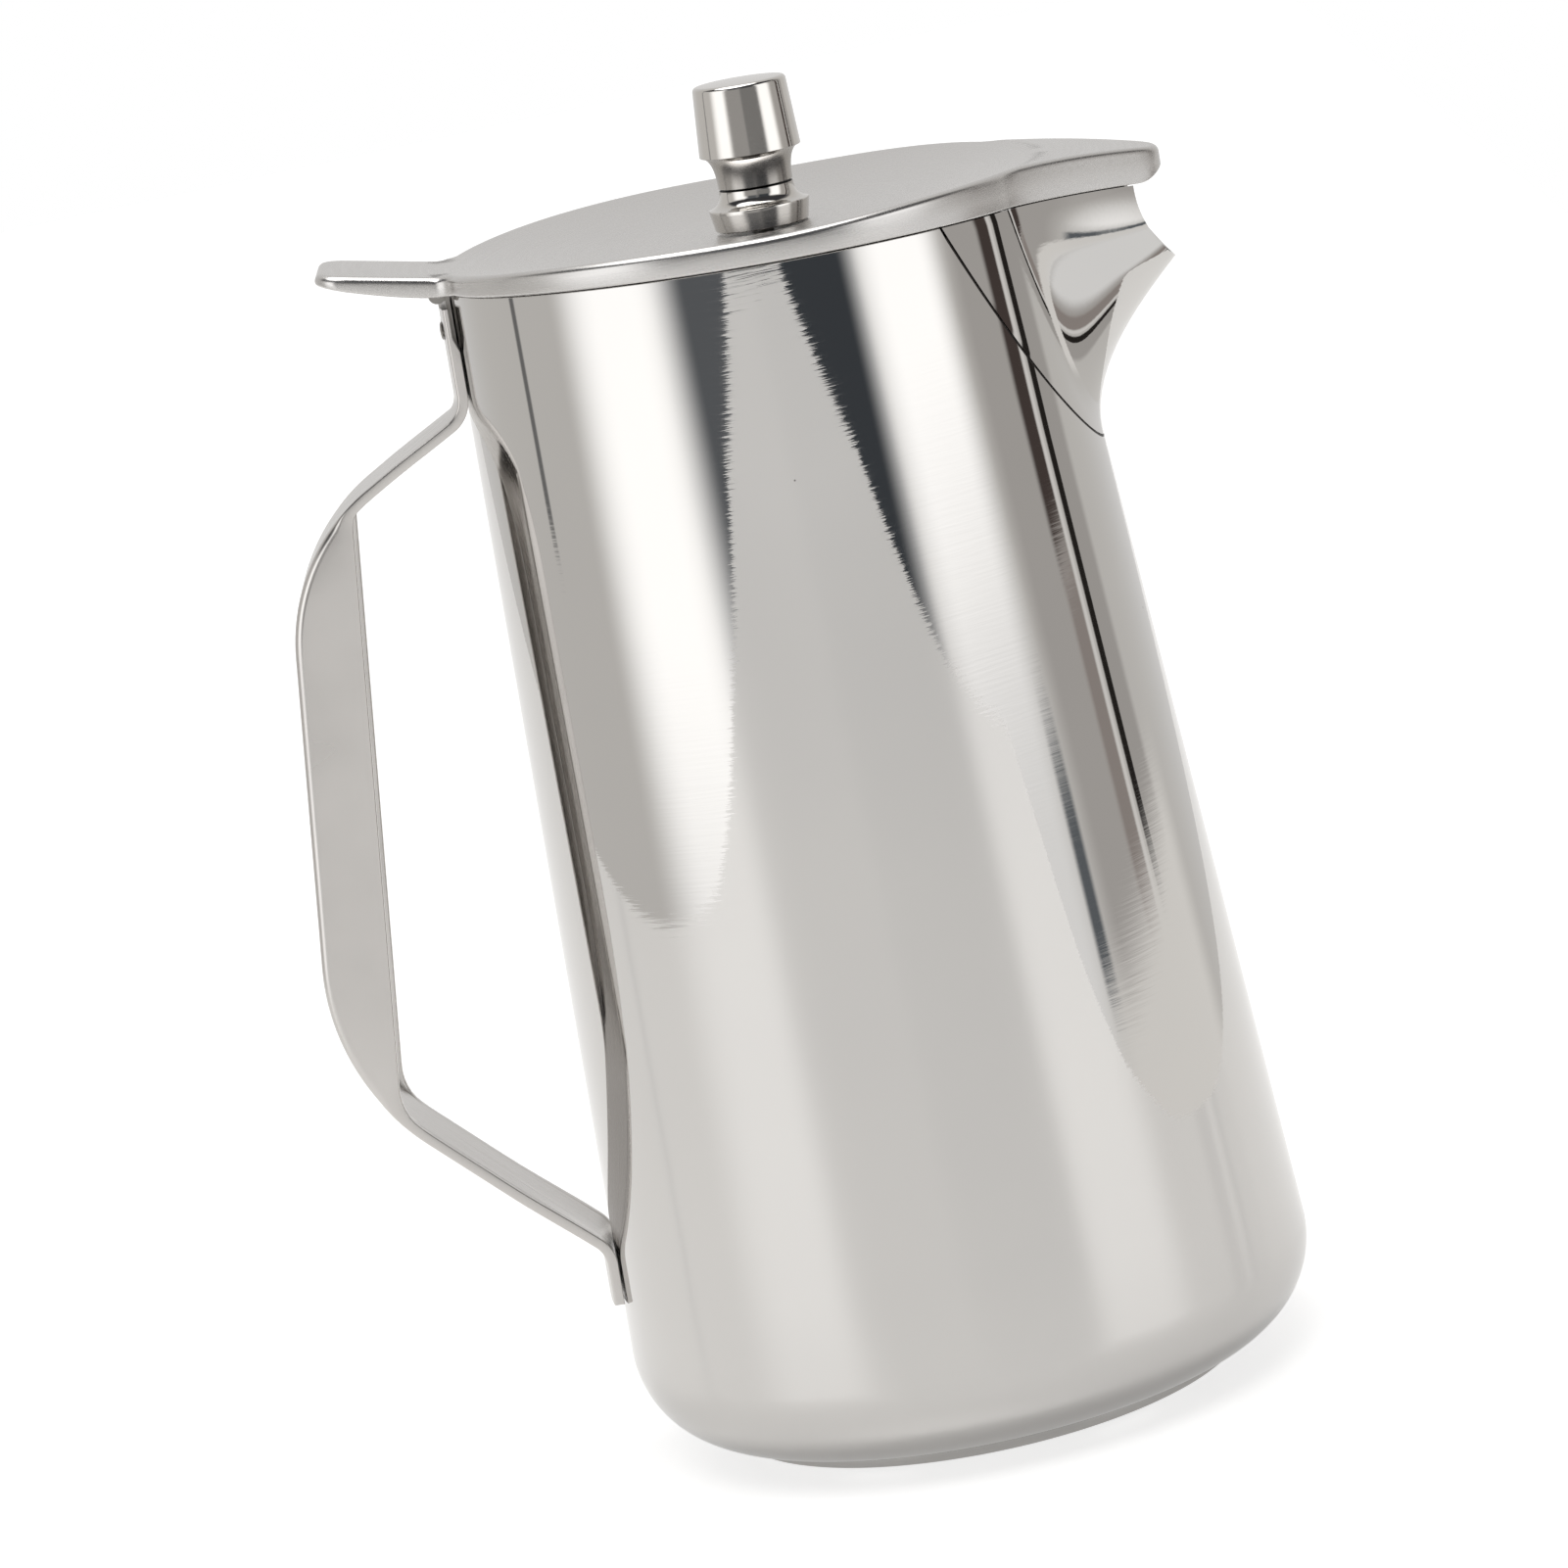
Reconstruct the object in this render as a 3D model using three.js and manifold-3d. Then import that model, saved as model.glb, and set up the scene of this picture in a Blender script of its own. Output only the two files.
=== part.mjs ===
// Lidded stainless steel water pitcher: tapered vessel, beak spout, strap handle and hinged lid.
// Millimetres, +Z up, +X towards the spout; the origin is the centre of the base.
import * as THREE from 'three';
import { mergeVertices } from 'three/addons/utils/BufferGeometryUtils.js';
import Module from 'manifold-3d';

const wasm = await Module();
wasm.setup();

// Vessel
const BASE_RADIUS = 62;
const TOP_RADIUS = 52.75;
const RIM_HEIGHT = 213.8;
const RIM_SLOPE = THREE.MathUtils.degToRad(2.5);
const RIM_BOW = 1.15;
const WALL = 1;
const FOOT_RADIUS = 46.5;
const FOOT_HEIGHT = 2.5;
const FOOT_EDGE = 0.7;
const CORNER_REACH = 15;
const CORNER_RISE = 16.5;

// Beak spout
const SPOUT_DEPTH = 48.1;
const SPOUT_HALF_ANGLE = THREE.MathUtils.degToRad(51);
const SEAM_POWER = 2.4;
const SEAM_GAP = 0.3;
const TIP_REACH = 20.95;
const TIP_DROP = 20.3;
const LIP_REACH = 15.65;
const LIP_HOLLOW = 1.65;
const LIP_POWER = 1.15;
const KEEL_RISE = 11.3;
const KEEL_PITCH = THREE.MathUtils.degToRad(41);
const KEEL_RUN = 9.6;
const BEAK_REACH = 24.25;
const BEAK_ROUND = [0.333, 0.06];
const FLARE_REACH = 16;
const FLARE_BEND = [0.333, 0.2];
const WALL_LAP = THREE.MathUtils.degToRad(19);
const WALL_LAP_POWER = 0.7;

// Strap handle
const STRAP_WIDTH = 20;
const STRAP_THICKNESS = 1.8;
const STRAP_EDGE = 0.35;
const STRAP_BOTTOM = 30.7;
const UPPER_TAB_LENGTH = 18.4;
const LOWER_TAB_LENGTH = 9.6;
const GRIP_TOP_REACH = 28.1;
const GRIP_TOP_DROP = 18.4;
const GRIP_LOW_REACH = 41.4;
const GRIP_LOW_RISE = 41.3;
const GRIP_DEPTH = 12;
const TAB_BEND_RADIUS = 5;
const GRIP_TOP_RADIUS = 36;
const GRIP_LOW_RADIUS = 42;
const FLANGE_TOP_RADIUS = 4;
const FLANGE_LOW_RADIUS = 10;
const WELD_GAP = 0.3;
const CHANNEL_LIFT = 0.05;
const HUG_REACH = 14;

// Lid
const LID_SHEET = 0.7;
const LID_OVERHANG = 0.95;
const LID_GAP = 0.3;
const NOSE_OVERLAP = 6;
const NOSE_ROUND = 4.5;
const NOSE_LIFT = 2.4;
const NOSE_LIFT_RUN = 4.4;
const BAND_HEIGHT = 4.5;
const EDGE_ROUND = 1.3;
const DISH_DEPTH = 4.6;
const HEM_WIDTH = 2.6;
const NOSE_CROWN = 2.05;
const NOSE_CROWN_REACH = 2.2;
const TAB_LENGTH = 21.3;
const TAB_CLEAR = 3;
const TAB_FILLET = 4;
const TAB_CORNER = 5;
const TAB_SINK = 1;
const TAB_LIFT = 3.9;
const TAB_TIP_EDGE = 2.1;

// Hinge
const LEAF_THICKNESS = 0.8;
const LEAF_WIDTH = 14;
const LEAF_LAP = 7.4;
const LEAF_GAP = 0.2;
const BARREL_RADIUS = 1.6;
const BARREL_CLEAR = 0.85;
const PIN_RADIUS = 0.75;
const PIN_CLEARANCE = 0.1;
const PIN_HEAD_RADIUS = 1.25;
const PIN_HEAD = 0.5;
const KNUCKLE_GAP = 0.3;
const LID_KNUCKLE_WIDTH = 5.2;
const LID_LEAF_LENGTH = 11;
const RIVET_RADIUS = 1;
const RIVET_HEAD_RADIUS = 1.7;
const RIVET_HEAD = 0.4;
const RIVET_SPREAD = 4.2;
const RIVET_DROP = 4.2;
const RIVET_CLEARANCE = 0.1;

// Knob
const KNOB_X = 3.7;
const KNOB_TOP_RADIUS = 8.3;
const KNOB_SHOULDER_RADIUS = 9;
const KNOB_NECK_RADIUS = 6.6;
const KNOB_HEIGHT = 25.6;
const KNOB_SHOULDER_HEIGHT = 13.3;
const KNOB_EDGE = 0.8;
const COLLAR_HEIGHT = 7.1;
const COLLAR_RADIUS = 8.9;
const COLLAR_FOOT_RADIUS = 7.6;
const COLLAR_WIDEST = 3.6;
const SCREW_RADIUS = 1.9;
const SCREW_CLEARANCE = 0.25;
const SCREW_ENGAGEMENT = 9;
const SCREW_HEAD_RADIUS = 3.6;
const SCREW_HEAD = 2.2;
const SCREW_SLOT_WIDTH = 0.9;
const SCREW_SLOT_DEPTH = 1;
const WASHER_RADIUS = 5.5;
const WASHER_THICKNESS = 0.8;
const STACK_GAP = 0.2;

// Facets
const BODY_SIDES = 72;
const KNOB_SIDES = 36;
const SMALL_SIDES = 16;
const ARC_STEPS = 4;
const CORNER_STEPS = 6;
const SPOUT_COLUMNS = 36;
const SPOUT_ROWS = 10;
const SEARCH_STEPS = 40;
const SEAM_STEPS = 32;
const STRAP_STEPS = 6;
const RIM_STEPS = 18;
const FLARE_STEPS = 16;
const PLAN_STEP = 0.1;
const DISH_STEPS = [0.15, 0.35, 0.55, 0.72, 0.8, 0.88, 0.95];
const UNDER_STEPS = [0.92, 0.82, 0.72, 0.5, 0.2];

// Derived places
const CORNER_TOP = FOOT_HEIGHT + CORNER_RISE;
const TAN_SLOPE = Math.tan(RIM_SLOPE);
const LID_RADIUS = TOP_RADIUS + LID_OVERHANG;
const LIP_X = TOP_RADIUS + LIP_REACH;
const TIP_X = TOP_RADIUS + TIP_REACH;
const TIP_HEIGHT = RIM_HEIGHT - TIP_DROP;
const BEAK_X = TOP_RADIUS + BEAK_REACH;
const SPOUT_BOTTOM = RIM_HEIGHT - SPOUT_DEPTH;
const LID_FRONT = LIP_X + NOSE_OVERLAP;
const NOSE_CROWN_X = TOP_RADIUS + NOSE_CROWN_REACH;
const TAB_END = LID_RADIUS + TAB_LENGTH;
const TAB_HALF_WIDTH = STRAP_WIDTH / 2 + TAB_CLEAR;
const WALL_LEAN = Math.atan((BASE_RADIUS - TOP_RADIUS) / (RIM_HEIGHT - CORNER_TOP));
const LEAF_DEPTH = LEAF_GAP + LEAF_THICKNESS;
const STRAP_DEPTH = WELD_GAP + STRAP_THICKNESS;
const BORE_RADIUS = PIN_RADIUS + PIN_CLEARANCE;
const TAB_ROOT = RIM_HEIGHT + LID_RADIUS * TAN_SLOPE + BAND_HEIGHT - TAB_SINK - rimBow(-LID_RADIUS);
const AXIS_HEIGHT = TAB_ROOT - LID_SHEET - LEAF_DEPTH - KNUCKLE_GAP - BARREL_RADIUS;
const AXIS_X = -(wallRadius(AXIS_HEIGHT) + LEAF_GAP + BARREL_RADIUS);
const STRAP_TOP = AXIS_HEIGHT - BARREL_RADIUS - BARREL_CLEAR;
const LEAF_BOTTOM = STRAP_TOP - LEAF_LAP;
const RIVET_HEIGHT = STRAP_TOP - RIVET_DROP;
const UPPER_BEND_HEIGHT = STRAP_TOP - UPPER_TAB_LENGTH;
const LOWER_BEND_HEIGHT = STRAP_BOTTOM + LOWER_TAB_LENGTH;

// Finishes
const POLISHED_STEEL = { color: 0xd6d4d1, roughness: 0.12, metalness: 1 };
const SATIN_STEEL = { color: 0xc4c2c0, roughness: 0.32, metalness: 1 };
const PLAIN_STEEL = { color: 0x9d9b99, roughness: 0.4, metalness: 1 };

/** Radius of the vessel's outer wall at a height. */
function wallRadius(height) {
  const share = (height - CORNER_TOP) / (RIM_HEIGHT - CORNER_TOP);
  return BASE_RADIUS + (TOP_RADIUS - BASE_RADIUS) * share;
}

/** How far the round wall falls back behind its rearmost line at a sideways distance. */
function wallSag(across, height) {
  const radius = wallRadius(height);
  return radius - Math.sqrt(radius * radius - across * across);
}

/** How far the bowed rim falls away towards the spout and the hinge. */
function rimBow(forward) {
  const share = Math.abs(Math.max(forward, -LID_RADIUS)) / TOP_RADIUS;
  return RIM_BOW * share ** 3;
}

/** Height of the vessel's and spout's top edge, a gap below the lid's lower edge. */
function rimAt(forward) {
  return RIM_HEIGHT - LID_GAP - forward * TAN_SLOPE - rimBow(forward);
}

/** Closed solid from a geometry: shared vertices merged, collapsed triangles dropped. */
function solid(geometry) {
  const bare = geometry.clone();
  bare.deleteAttribute('normal');
  bare.deleteAttribute('uv');
  const merged = mergeVertices(bare, 1e-4);
  const index = merged.index.array;
  const triangles = [];
  for (let i = 0; i < index.length; i += 3) {
    const [a, b, c] = [index[i], index[i + 1], index[i + 2]];
    if (a !== b && b !== c && c !== a) triangles.push(a, b, c);
  }
  const mesh = new wasm.Mesh({
    numProp: 3,
    vertProperties: new Float32Array(merged.attributes.position.array),
    triVerts: new Uint32Array(triangles),
  });
  return new wasm.Manifold(mesh);
}

/** Drawable geometry from a solid. */
function geometryOf(body) {
  const mesh = body.getMesh();
  const geometry = new THREE.BufferGeometry();
  geometry.setAttribute('position', new THREE.BufferAttribute(mesh.vertProperties, 3));
  geometry.setIndex(new THREE.BufferAttribute(mesh.triVerts, 1));
  geometry.computeVertexNormals();
  return geometry;
}

/** Named piece from a solid and its finish. */
function piece(name, body, finish) {
  const mesh = new THREE.Mesh(geometryOf(body), new THREE.MeshStandardMaterial(finish));
  mesh.name = name;
  return mesh;
}

/** Body of revolution about Z from [radius, height] points. */
function turned(points, sides) {
  const profile = points.map(([radius, height]) => new THREE.Vector2(radius, height));
  return new THREE.LatheGeometry(profile, sides).rotateX(Math.PI / 2);
}

/** Round bar along Z between two heights. */
function bar(radius, low, high, sides) {
  const points = [[0, low], [radius, low], [radius, high], [0, high]];
  return turned(points, sides);
}

/** Closed geometry from rings of equal length between two poles. */
function closedRings(firstPole, rings, lastPole) {
  const count = rings[0].length;
  const points = [firstPole, ...rings.flat(), lastPole];
  const last = points.length - 1;
  const at = (ring, column) => 1 + ring * count + (column % count);
  const faces = [];
  for (let column = 0; column < count; column += 1) {
    faces.push(0, at(0, column), at(0, column + 1));
    for (let ring = 0; ring + 1 < rings.length; ring += 1) {
      faces.push(at(ring, column), at(ring + 1, column), at(ring + 1, column + 1));
      faces.push(at(ring, column), at(ring + 1, column + 1), at(ring, column + 1));
    }
    faces.push(last, at(rings.length - 1, column + 1), at(rings.length - 1, column));
  }
  return new THREE.BufferGeometry().setFromPoints(points).setIndex(faces);
}

/** Closed geometry of a curved sheet between its outer and inner rows of points. */
function thickSheet(outer, inner) {
  const rings = outer.map((row, i) => [...row, ...inner[i].slice().reverse()]);
  const width = outer[0].length;
  const count = 2 * width;
  const at = (ring, column) => ring * count + (column % count);
  const faces = [];
  for (let ring = 0; ring + 1 < rings.length; ring += 1) {
    for (let column = 0; column < count; column += 1) {
      faces.push(at(ring, column), at(ring, column + 1), at(ring + 1, column + 1));
      faces.push(at(ring, column), at(ring + 1, column + 1), at(ring + 1, column));
    }
  }
  const end = rings.length - 1;
  for (let column = 0; column + 1 < width; column += 1) {
    const back = count - 1 - column;
    faces.push(at(0, column), at(0, back), at(0, back - 1));
    faces.push(at(0, column), at(0, back - 1), at(0, column + 1));
    faces.push(at(end, column), at(end, back - 1), at(end, back));
    faces.push(at(end, column), at(end, column + 1), at(end, back - 1));
  }
  return new THREE.BufferGeometry().setFromPoints(rings.flat()).setIndex(faces);
}

/** Moves every vertex of a geometry by a function of its place. */
function reshape(geometry, move) {
  const place = new THREE.Vector3();
  const position = geometry.attributes.position;
  for (let i = 0; i < position.count; i += 1) {
    place.fromBufferAttribute(position, i);
    move(place);
    position.setXYZ(i, place.x, place.y, place.z);
  }
  return geometry;
}

/** Straight extrusion of an XZ outline, centred on Y. */
function acrossY(shape, width, options) {
  const edge = options.bevelThickness ?? 0;
  const settings = { depth: width - 2 * edge, bevelEnabled: false, curveSegments: ARC_STEPS, ...options };
  const geometry = new THREE.ExtrudeGeometry(shape, settings);
  return geometry.translate(0, 0, edge - width / 2).rotateX(Math.PI / 2);
}

/** Adds a line with rounded corners to a path. */
function roundedLine(path, points, radii) {
  path.lineTo(points[0].x, points[0].y);
  for (let i = 1; i + 1 < points.length; i += 1) {
    const toLast = points[i - 1].clone().sub(points[i]).normalize();
    const toNext = points[i + 1].clone().sub(points[i]).normalize();
    const half = Math.acos(toLast.dot(toNext)) / 2;
    const radius = radii[i - 1];
    const start = points[i].clone().addScaledVector(toLast, radius / Math.tan(half));
    const end = points[i].clone().addScaledVector(toNext, radius / Math.tan(half));
    const bisector = toLast.clone().add(toNext).normalize();
    const centre = points[i].clone().addScaledVector(bisector, radius / Math.sin(half));
    const from = start.sub(centre).angle();
    const to = end.sub(centre).angle();
    path.absarc(centre.x, centre.y, radius, from, to, toLast.cross(toNext) > 0);
  }
  const last = points[points.length - 1];
  path.lineTo(last.x, last.y);
}

/** Line moved to its left, each stretch by its own distance. */
function offsetLine(points, distances) {
  const stretches = distances.map((distance, i) => {
    const along = points[i + 1].clone().sub(points[i]).normalize();
    const left = new THREE.Vector2(-along.y, along.x);
    return { along, start: points[i].clone().addScaledVector(left, distance), left, distance };
  });
  const moved = [stretches[0].start];
  for (let i = 1; i < stretches.length; i += 1) {
    const before = stretches[i - 1];
    const after = stretches[i];
    const reach = after.start.clone().sub(before.start).cross(after.along) / before.along.cross(after.along);
    moved.push(before.start.clone().addScaledVector(before.along, reach));
  }
  const tail = stretches[stretches.length - 1];
  moved.push(points[points.length - 1].clone().addScaledVector(tail.left, tail.distance));
  return moved;
}

/** Place on the spout's seam for a share of its half angle, widened by a margin. */
function seamPoint(share, margin) {
  const angle = share * (SPOUT_HALF_ANGLE + margin / TOP_RADIUS);
  const top = rimAt(TOP_RADIUS * Math.cos(SPOUT_HALF_ANGLE));
  const climb = Math.abs(share) ** SEAM_POWER;
  const height = SPOUT_BOTTOM - margin + (top - SPOUT_BOTTOM) * climb;
  const radius = wallRadius(height);
  return new THREE.Vector3(radius * Math.cos(angle), radius * Math.sin(angle), height);
}

/** Everything inside the spout's seam, right through the front wall. */
function spoutOpening() {
  const overrun = 1.08;
  const outline = new THREE.Shape();
  for (let i = 0; i <= SEAM_STEPS; i += 1) {
    const { y, z } = seamPoint(overrun * (2 * i / SEAM_STEPS - 1), SEAM_GAP);
    if (i === 0) outline.moveTo(y, z);
    else outline.lineTo(y, z);
  }
  const geometry = new THREE.ExtrudeGeometry(outline, { depth: BASE_RADIUS, bevelEnabled: false });
  const turn = new THREE.Matrix4().makeBasis(
    new THREE.Vector3(0, 1, 0),
    new THREE.Vector3(0, 0, 1),
    new THREE.Vector3(1, 0, 0),
  );
  return geometry.applyMatrix4(turn).translate(TOP_RADIUS / 2, 0, 0);
}

/** Everything above the vessel's sloping, bowed rim. */
function aboveRim() {
  const outline = new THREE.Shape();
  outline.moveTo(-BASE_RADIUS, RIM_HEIGHT + BASE_RADIUS);
  for (let i = 0; i <= RIM_STEPS; i += 1) {
    const forward = BASE_RADIUS * (2 * i / RIM_STEPS - 1);
    outline.lineTo(forward, rimAt(forward));
  }
  outline.lineTo(BASE_RADIUS, RIM_HEIGHT + BASE_RADIUS);
  return acrossY(outline, 3 * BASE_RADIUS, {});
}

/** Points of the rounded bottom edge, inset from the outside, from the foot up to the wall. */
function bottomCorner(inset) {
  const points = [];
  for (let i = 0; i <= CORNER_STEPS; i += 1) {
    const angle = i / CORNER_STEPS * Math.PI / 2;
    const radius = BASE_RADIUS - CORNER_REACH + (CORNER_REACH - inset) * Math.sin(angle);
    points.push([radius, CORNER_TOP - (CORNER_RISE - inset) * Math.cos(angle)]);
  }
  return points;
}

/** Drawn shell of the vessel with its pressed foot. */
function bodyShell() {
  const top = RIM_HEIGHT + BASE_RADIUS * TAN_SLOPE + WALL;
  const inside = FOOT_RADIUS - WALL;
  const shell = turned([
    [0, 0],
    [FOOT_RADIUS - FOOT_EDGE, 0],
    [FOOT_RADIUS, FOOT_EDGE],
    [FOOT_RADIUS, FOOT_HEIGHT],
    ...bottomCorner(0),
    [wallRadius(top), top],
    [wallRadius(top) - WALL, top],
    ...bottomCorner(WALL).reverse(),
    [inside, FOOT_HEIGHT + WALL],
    [inside, WALL],
    [0, WALL],
  ], BODY_SIDES);
  return solid(shell).subtract(solid(aboveRim())).subtract(solid(spoutOpening()));
}

/** Place between 0 and 1 where a rising function reaches a value. */
function searched(rising, value) {
  let [low, high] = [0, 1];
  for (let i = 0; i < SEARCH_STEPS; i += 1) {
    const middle = (low + high) / 2;
    if (rising(middle) < value) low = middle;
    else high = middle;
  }
  return (low + high) / 2;
}

/** Side view of a line of the spout's sheet from its seam to its lip, at a share of its width. */
function sideCurve(share) {
  const side = Math.abs(share);
  const seam = seamPoint(share, 0);
  const start = new THREE.Vector2(seam.x, seam.z);
  const end = lipPoint(share);
  const up = new THREE.Vector2(-Math.sin(WALL_LEAN), Math.cos(WALL_LEAN)).multiplyScalar(KEEL_RISE);
  const keel = new THREE.Vector2(Math.cos(KEEL_PITCH), Math.sin(KEEL_PITCH)).multiplyScalar(KEEL_RUN);
  const flare = new THREE.Vector2(FLARE_REACH, 0);
  return new THREE.CubicBezierCurve(
    start,
    start.clone().add(up.lerp(flare, side)),
    end.clone().sub(keel.lerp(flare, side)),
    end,
  );
}

/** Place of the spout's keel at a height; above the tip it runs on to the beak's cut-off end. */
function keelX(height) {
  if (height <= TIP_HEIGHT) {
    const keel = sideCurve(0);
    return keel.getPoint(searched((t) => keel.getPoint(t).y, height)).x;
  }
  const full = rimAt(LIP_X) - TIP_HEIGHT;
  const climb = height - TIP_HEIGHT;
  const run = climb / Math.tan(KEEL_PITCH);
  const bend = TIP_X + full / Math.tan(KEEL_PITCH) - BEAK_X;
  return TIP_X + run - bend * (climb / full) ** 2;
}

/** Half width of the spout: it follows the round wall, then bends into a beak with a round keel. */
function beakHalfWidth(x, height) {
  const share = THREE.MathUtils.clamp((height - SPOUT_BOTTOM) / (rimAt(x) - SPOUT_BOTTOM), 0, 1);
  const radius = wallRadius(height);
  const seam = SPOUT_HALF_ANGLE * share ** (1 / SEAM_POWER);
  const angle = Math.max(0, seam - WALL_LAP * share ** WALL_LAP_POWER);
  const bend = new THREE.Vector2(radius * Math.cos(angle), radius * Math.sin(angle));
  if (x <= bend.x) return Math.sqrt(radius * radius - x * x);
  const keel = new THREE.Vector2(keelX(height), 0);
  if (x >= keel.x) return 0;
  const along = new THREE.Vector2(Math.sin(angle), -Math.cos(angle));
  const chord = keel.distanceTo(bend);
  const flank = new THREE.CubicBezierCurve(
    bend,
    bend.clone().addScaledVector(along, chord * THREE.MathUtils.lerp(...FLARE_BEND, share)),
    new THREE.Vector2(keel.x, chord * THREE.MathUtils.lerp(...BEAK_ROUND, share)),
    keel,
  );
  return flank.getPoint(searched((t) => flank.getPoint(t).x, x)).y;
}

/** Side view of the spout's hollowed pouring lip, from its upper end down to the tip. */
function lipPoint(share) {
  const drop = Math.cos(share * Math.PI / 2) ** LIP_POWER;
  const top = rimAt(LIP_X);
  const hollow = 4 * LIP_HOLLOW * drop * (1 - drop);
  return new THREE.Vector2(
    LIP_X + (TIP_X - LIP_X) * drop - hollow,
    top + (TIP_HEIGHT - top) * drop,
  );
}

/** Place on the outside of the spout's sheet. */
function spoutPoint(share, rise) {
  const { x, y: height } = sideCurve(share).getPoint(rise);
  const z = Math.abs(share) === 1 ? rimAt(x) : height;
  return new THREE.Vector3(x, Math.sign(share) * beakHalfWidth(x, z), z);
}

/** Plan curve from the round rim to the spout's lip, moved outwards by a margin. */
function flareLine(margin, steps) {
  const plan = (x) => new THREE.Vector2(x, beakHalfWidth(x, rimAt(x)));
  const points = [];
  for (let i = 0; i <= steps; i += 1) {
    const x = THREE.MathUtils.lerp(TOP_RADIUS * Math.cos(SPOUT_HALF_ANGLE), LIP_X, i / steps);
    const along = plan(x + PLAN_STEP).sub(plan(x - PLAN_STEP)).normalize();
    points.push(plan(x).add(new THREE.Vector2(-along.y, along.x).multiplyScalar(margin)));
  }
  return points;
}

/** Stamped beak spout, one sheet from the seam on the vessel to the open lip. */
function spoutSheet() {
  const outer = [];
  for (let row = 0; row <= SPOUT_ROWS; row += 1) {
    outer.push([]);
    for (let column = 0; column <= SPOUT_COLUMNS; column += 1) {
      outer[row].push(spoutPoint(2 * column / SPOUT_COLUMNS - 1, row / SPOUT_ROWS));
    }
  }
  const inner = outer.map((points, row) => points.map((place, column) => {
    const above = outer[Math.min(row + 1, SPOUT_ROWS)][column];
    const below = outer[Math.max(row - 1, 0)][column];
    const right = points[Math.min(column + 1, SPOUT_COLUMNS)];
    const left = points[Math.max(column - 1, 0)];
    const normal = above.clone().sub(below).cross(right.clone().sub(left)).normalize();
    if (row === 0) normal.set(-place.x, -place.y, 0).normalize();
    const moved = place.clone().addScaledVector(normal, WALL);
    if (column === 0 || column === SPOUT_COLUMNS) moved.z = rimAt(moved.x);
    return moved;
  }));
  return solid(thickSheet(outer, inner));
}

/** Corners of the strap's outer face, from its top end down to its bottom end. */
function strapLine() {
  const tab = (height) => new THREE.Vector2(-(wallRadius(height) + STRAP_DEPTH), height);
  return [
    tab(STRAP_TOP),
    tab(UPPER_BEND_HEIGHT),
    new THREE.Vector2(-(BASE_RADIUS + GRIP_TOP_REACH), UPPER_BEND_HEIGHT - GRIP_TOP_DROP),
    new THREE.Vector2(-(BASE_RADIUS + GRIP_LOW_REACH), LOWER_BEND_HEIGHT + GRIP_LOW_RISE),
    tab(LOWER_BEND_HEIGHT),
    tab(STRAP_BOTTOM),
  ];
}

/** Side view of the strap with its grip filled out to the flanges' free edges. */
function strapOutline() {
  const thickness = STRAP_THICKNESS;
  const outer = strapLine();
  const inner = offsetLine(outer, [thickness, thickness, GRIP_DEPTH, thickness, thickness]).reverse();
  const outside = [TAB_BEND_RADIUS, GRIP_TOP_RADIUS, GRIP_LOW_RADIUS, TAB_BEND_RADIUS];
  const tabInside = TAB_BEND_RADIUS + thickness;
  const inside = [tabInside, FLANGE_LOW_RADIUS, FLANGE_TOP_RADIUS, tabInside];
  const outline = new THREE.Shape();
  outline.moveTo(outer[0].x, outer[0].y);
  roundedLine(outline, outer, outside);
  roundedLine(outline, inner, inside);
  return outline;
}

/** Hollow of the grip's channel, from one leg round to the other. */
function channelOutline() {
  const web = STRAP_THICKNESS + CHANNEL_LIFT;
  const line = offsetLine(strapLine(), [web, web, web, web, web]);
  const legs = [line[1].clone().lerp(line[2], 0.5), line[2], line[3], line[3].clone().lerp(line[4], 0.5)];
  const outline = new THREE.Shape();
  outline.moveTo(legs[0].x, legs[0].y);
  roundedLine(outline, legs, [GRIP_TOP_RADIUS - web, GRIP_LOW_RADIUS - web]);
  return outline;
}

/** Plate that follows the vessel's round rear wall between two distances from it. */
function wallPlate(near, far, width, low, high) {
  const plate = new THREE.BoxGeometry(1, width, high - low, 1, STRAP_STEPS, 1);
  return reshape(plate.translate(0.5, 0, (low + high) / 2), (place) => {
    const depth = THREE.MathUtils.lerp(far, near, place.x);
    place.x = wallSag(place.y, place.z) - wallRadius(place.z) - depth;
  });
}

/** Turns a piece made about Z to stand square on the rear wall at a rivet's place. */
function onRivet(geometry, side) {
  const across = side * RIVET_SPREAD;
  const face = wallSag(across, RIVET_HEIGHT) - wallRadius(RIVET_HEIGHT) - STRAP_DEPTH;
  return geometry.rotateY(WALL_LEAN - Math.PI / 2).translate(face, across, RIVET_HEIGHT);
}

/** Clearance hole for one rivet, through strap and leaf. */
function rivetHole(side) {
  const reach = STRAP_DEPTH + WALL;
  return solid(onRivet(bar(RIVET_RADIUS + RIVET_CLEARANCE, -reach, reach, SMALL_SIDES), side));
}

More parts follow.
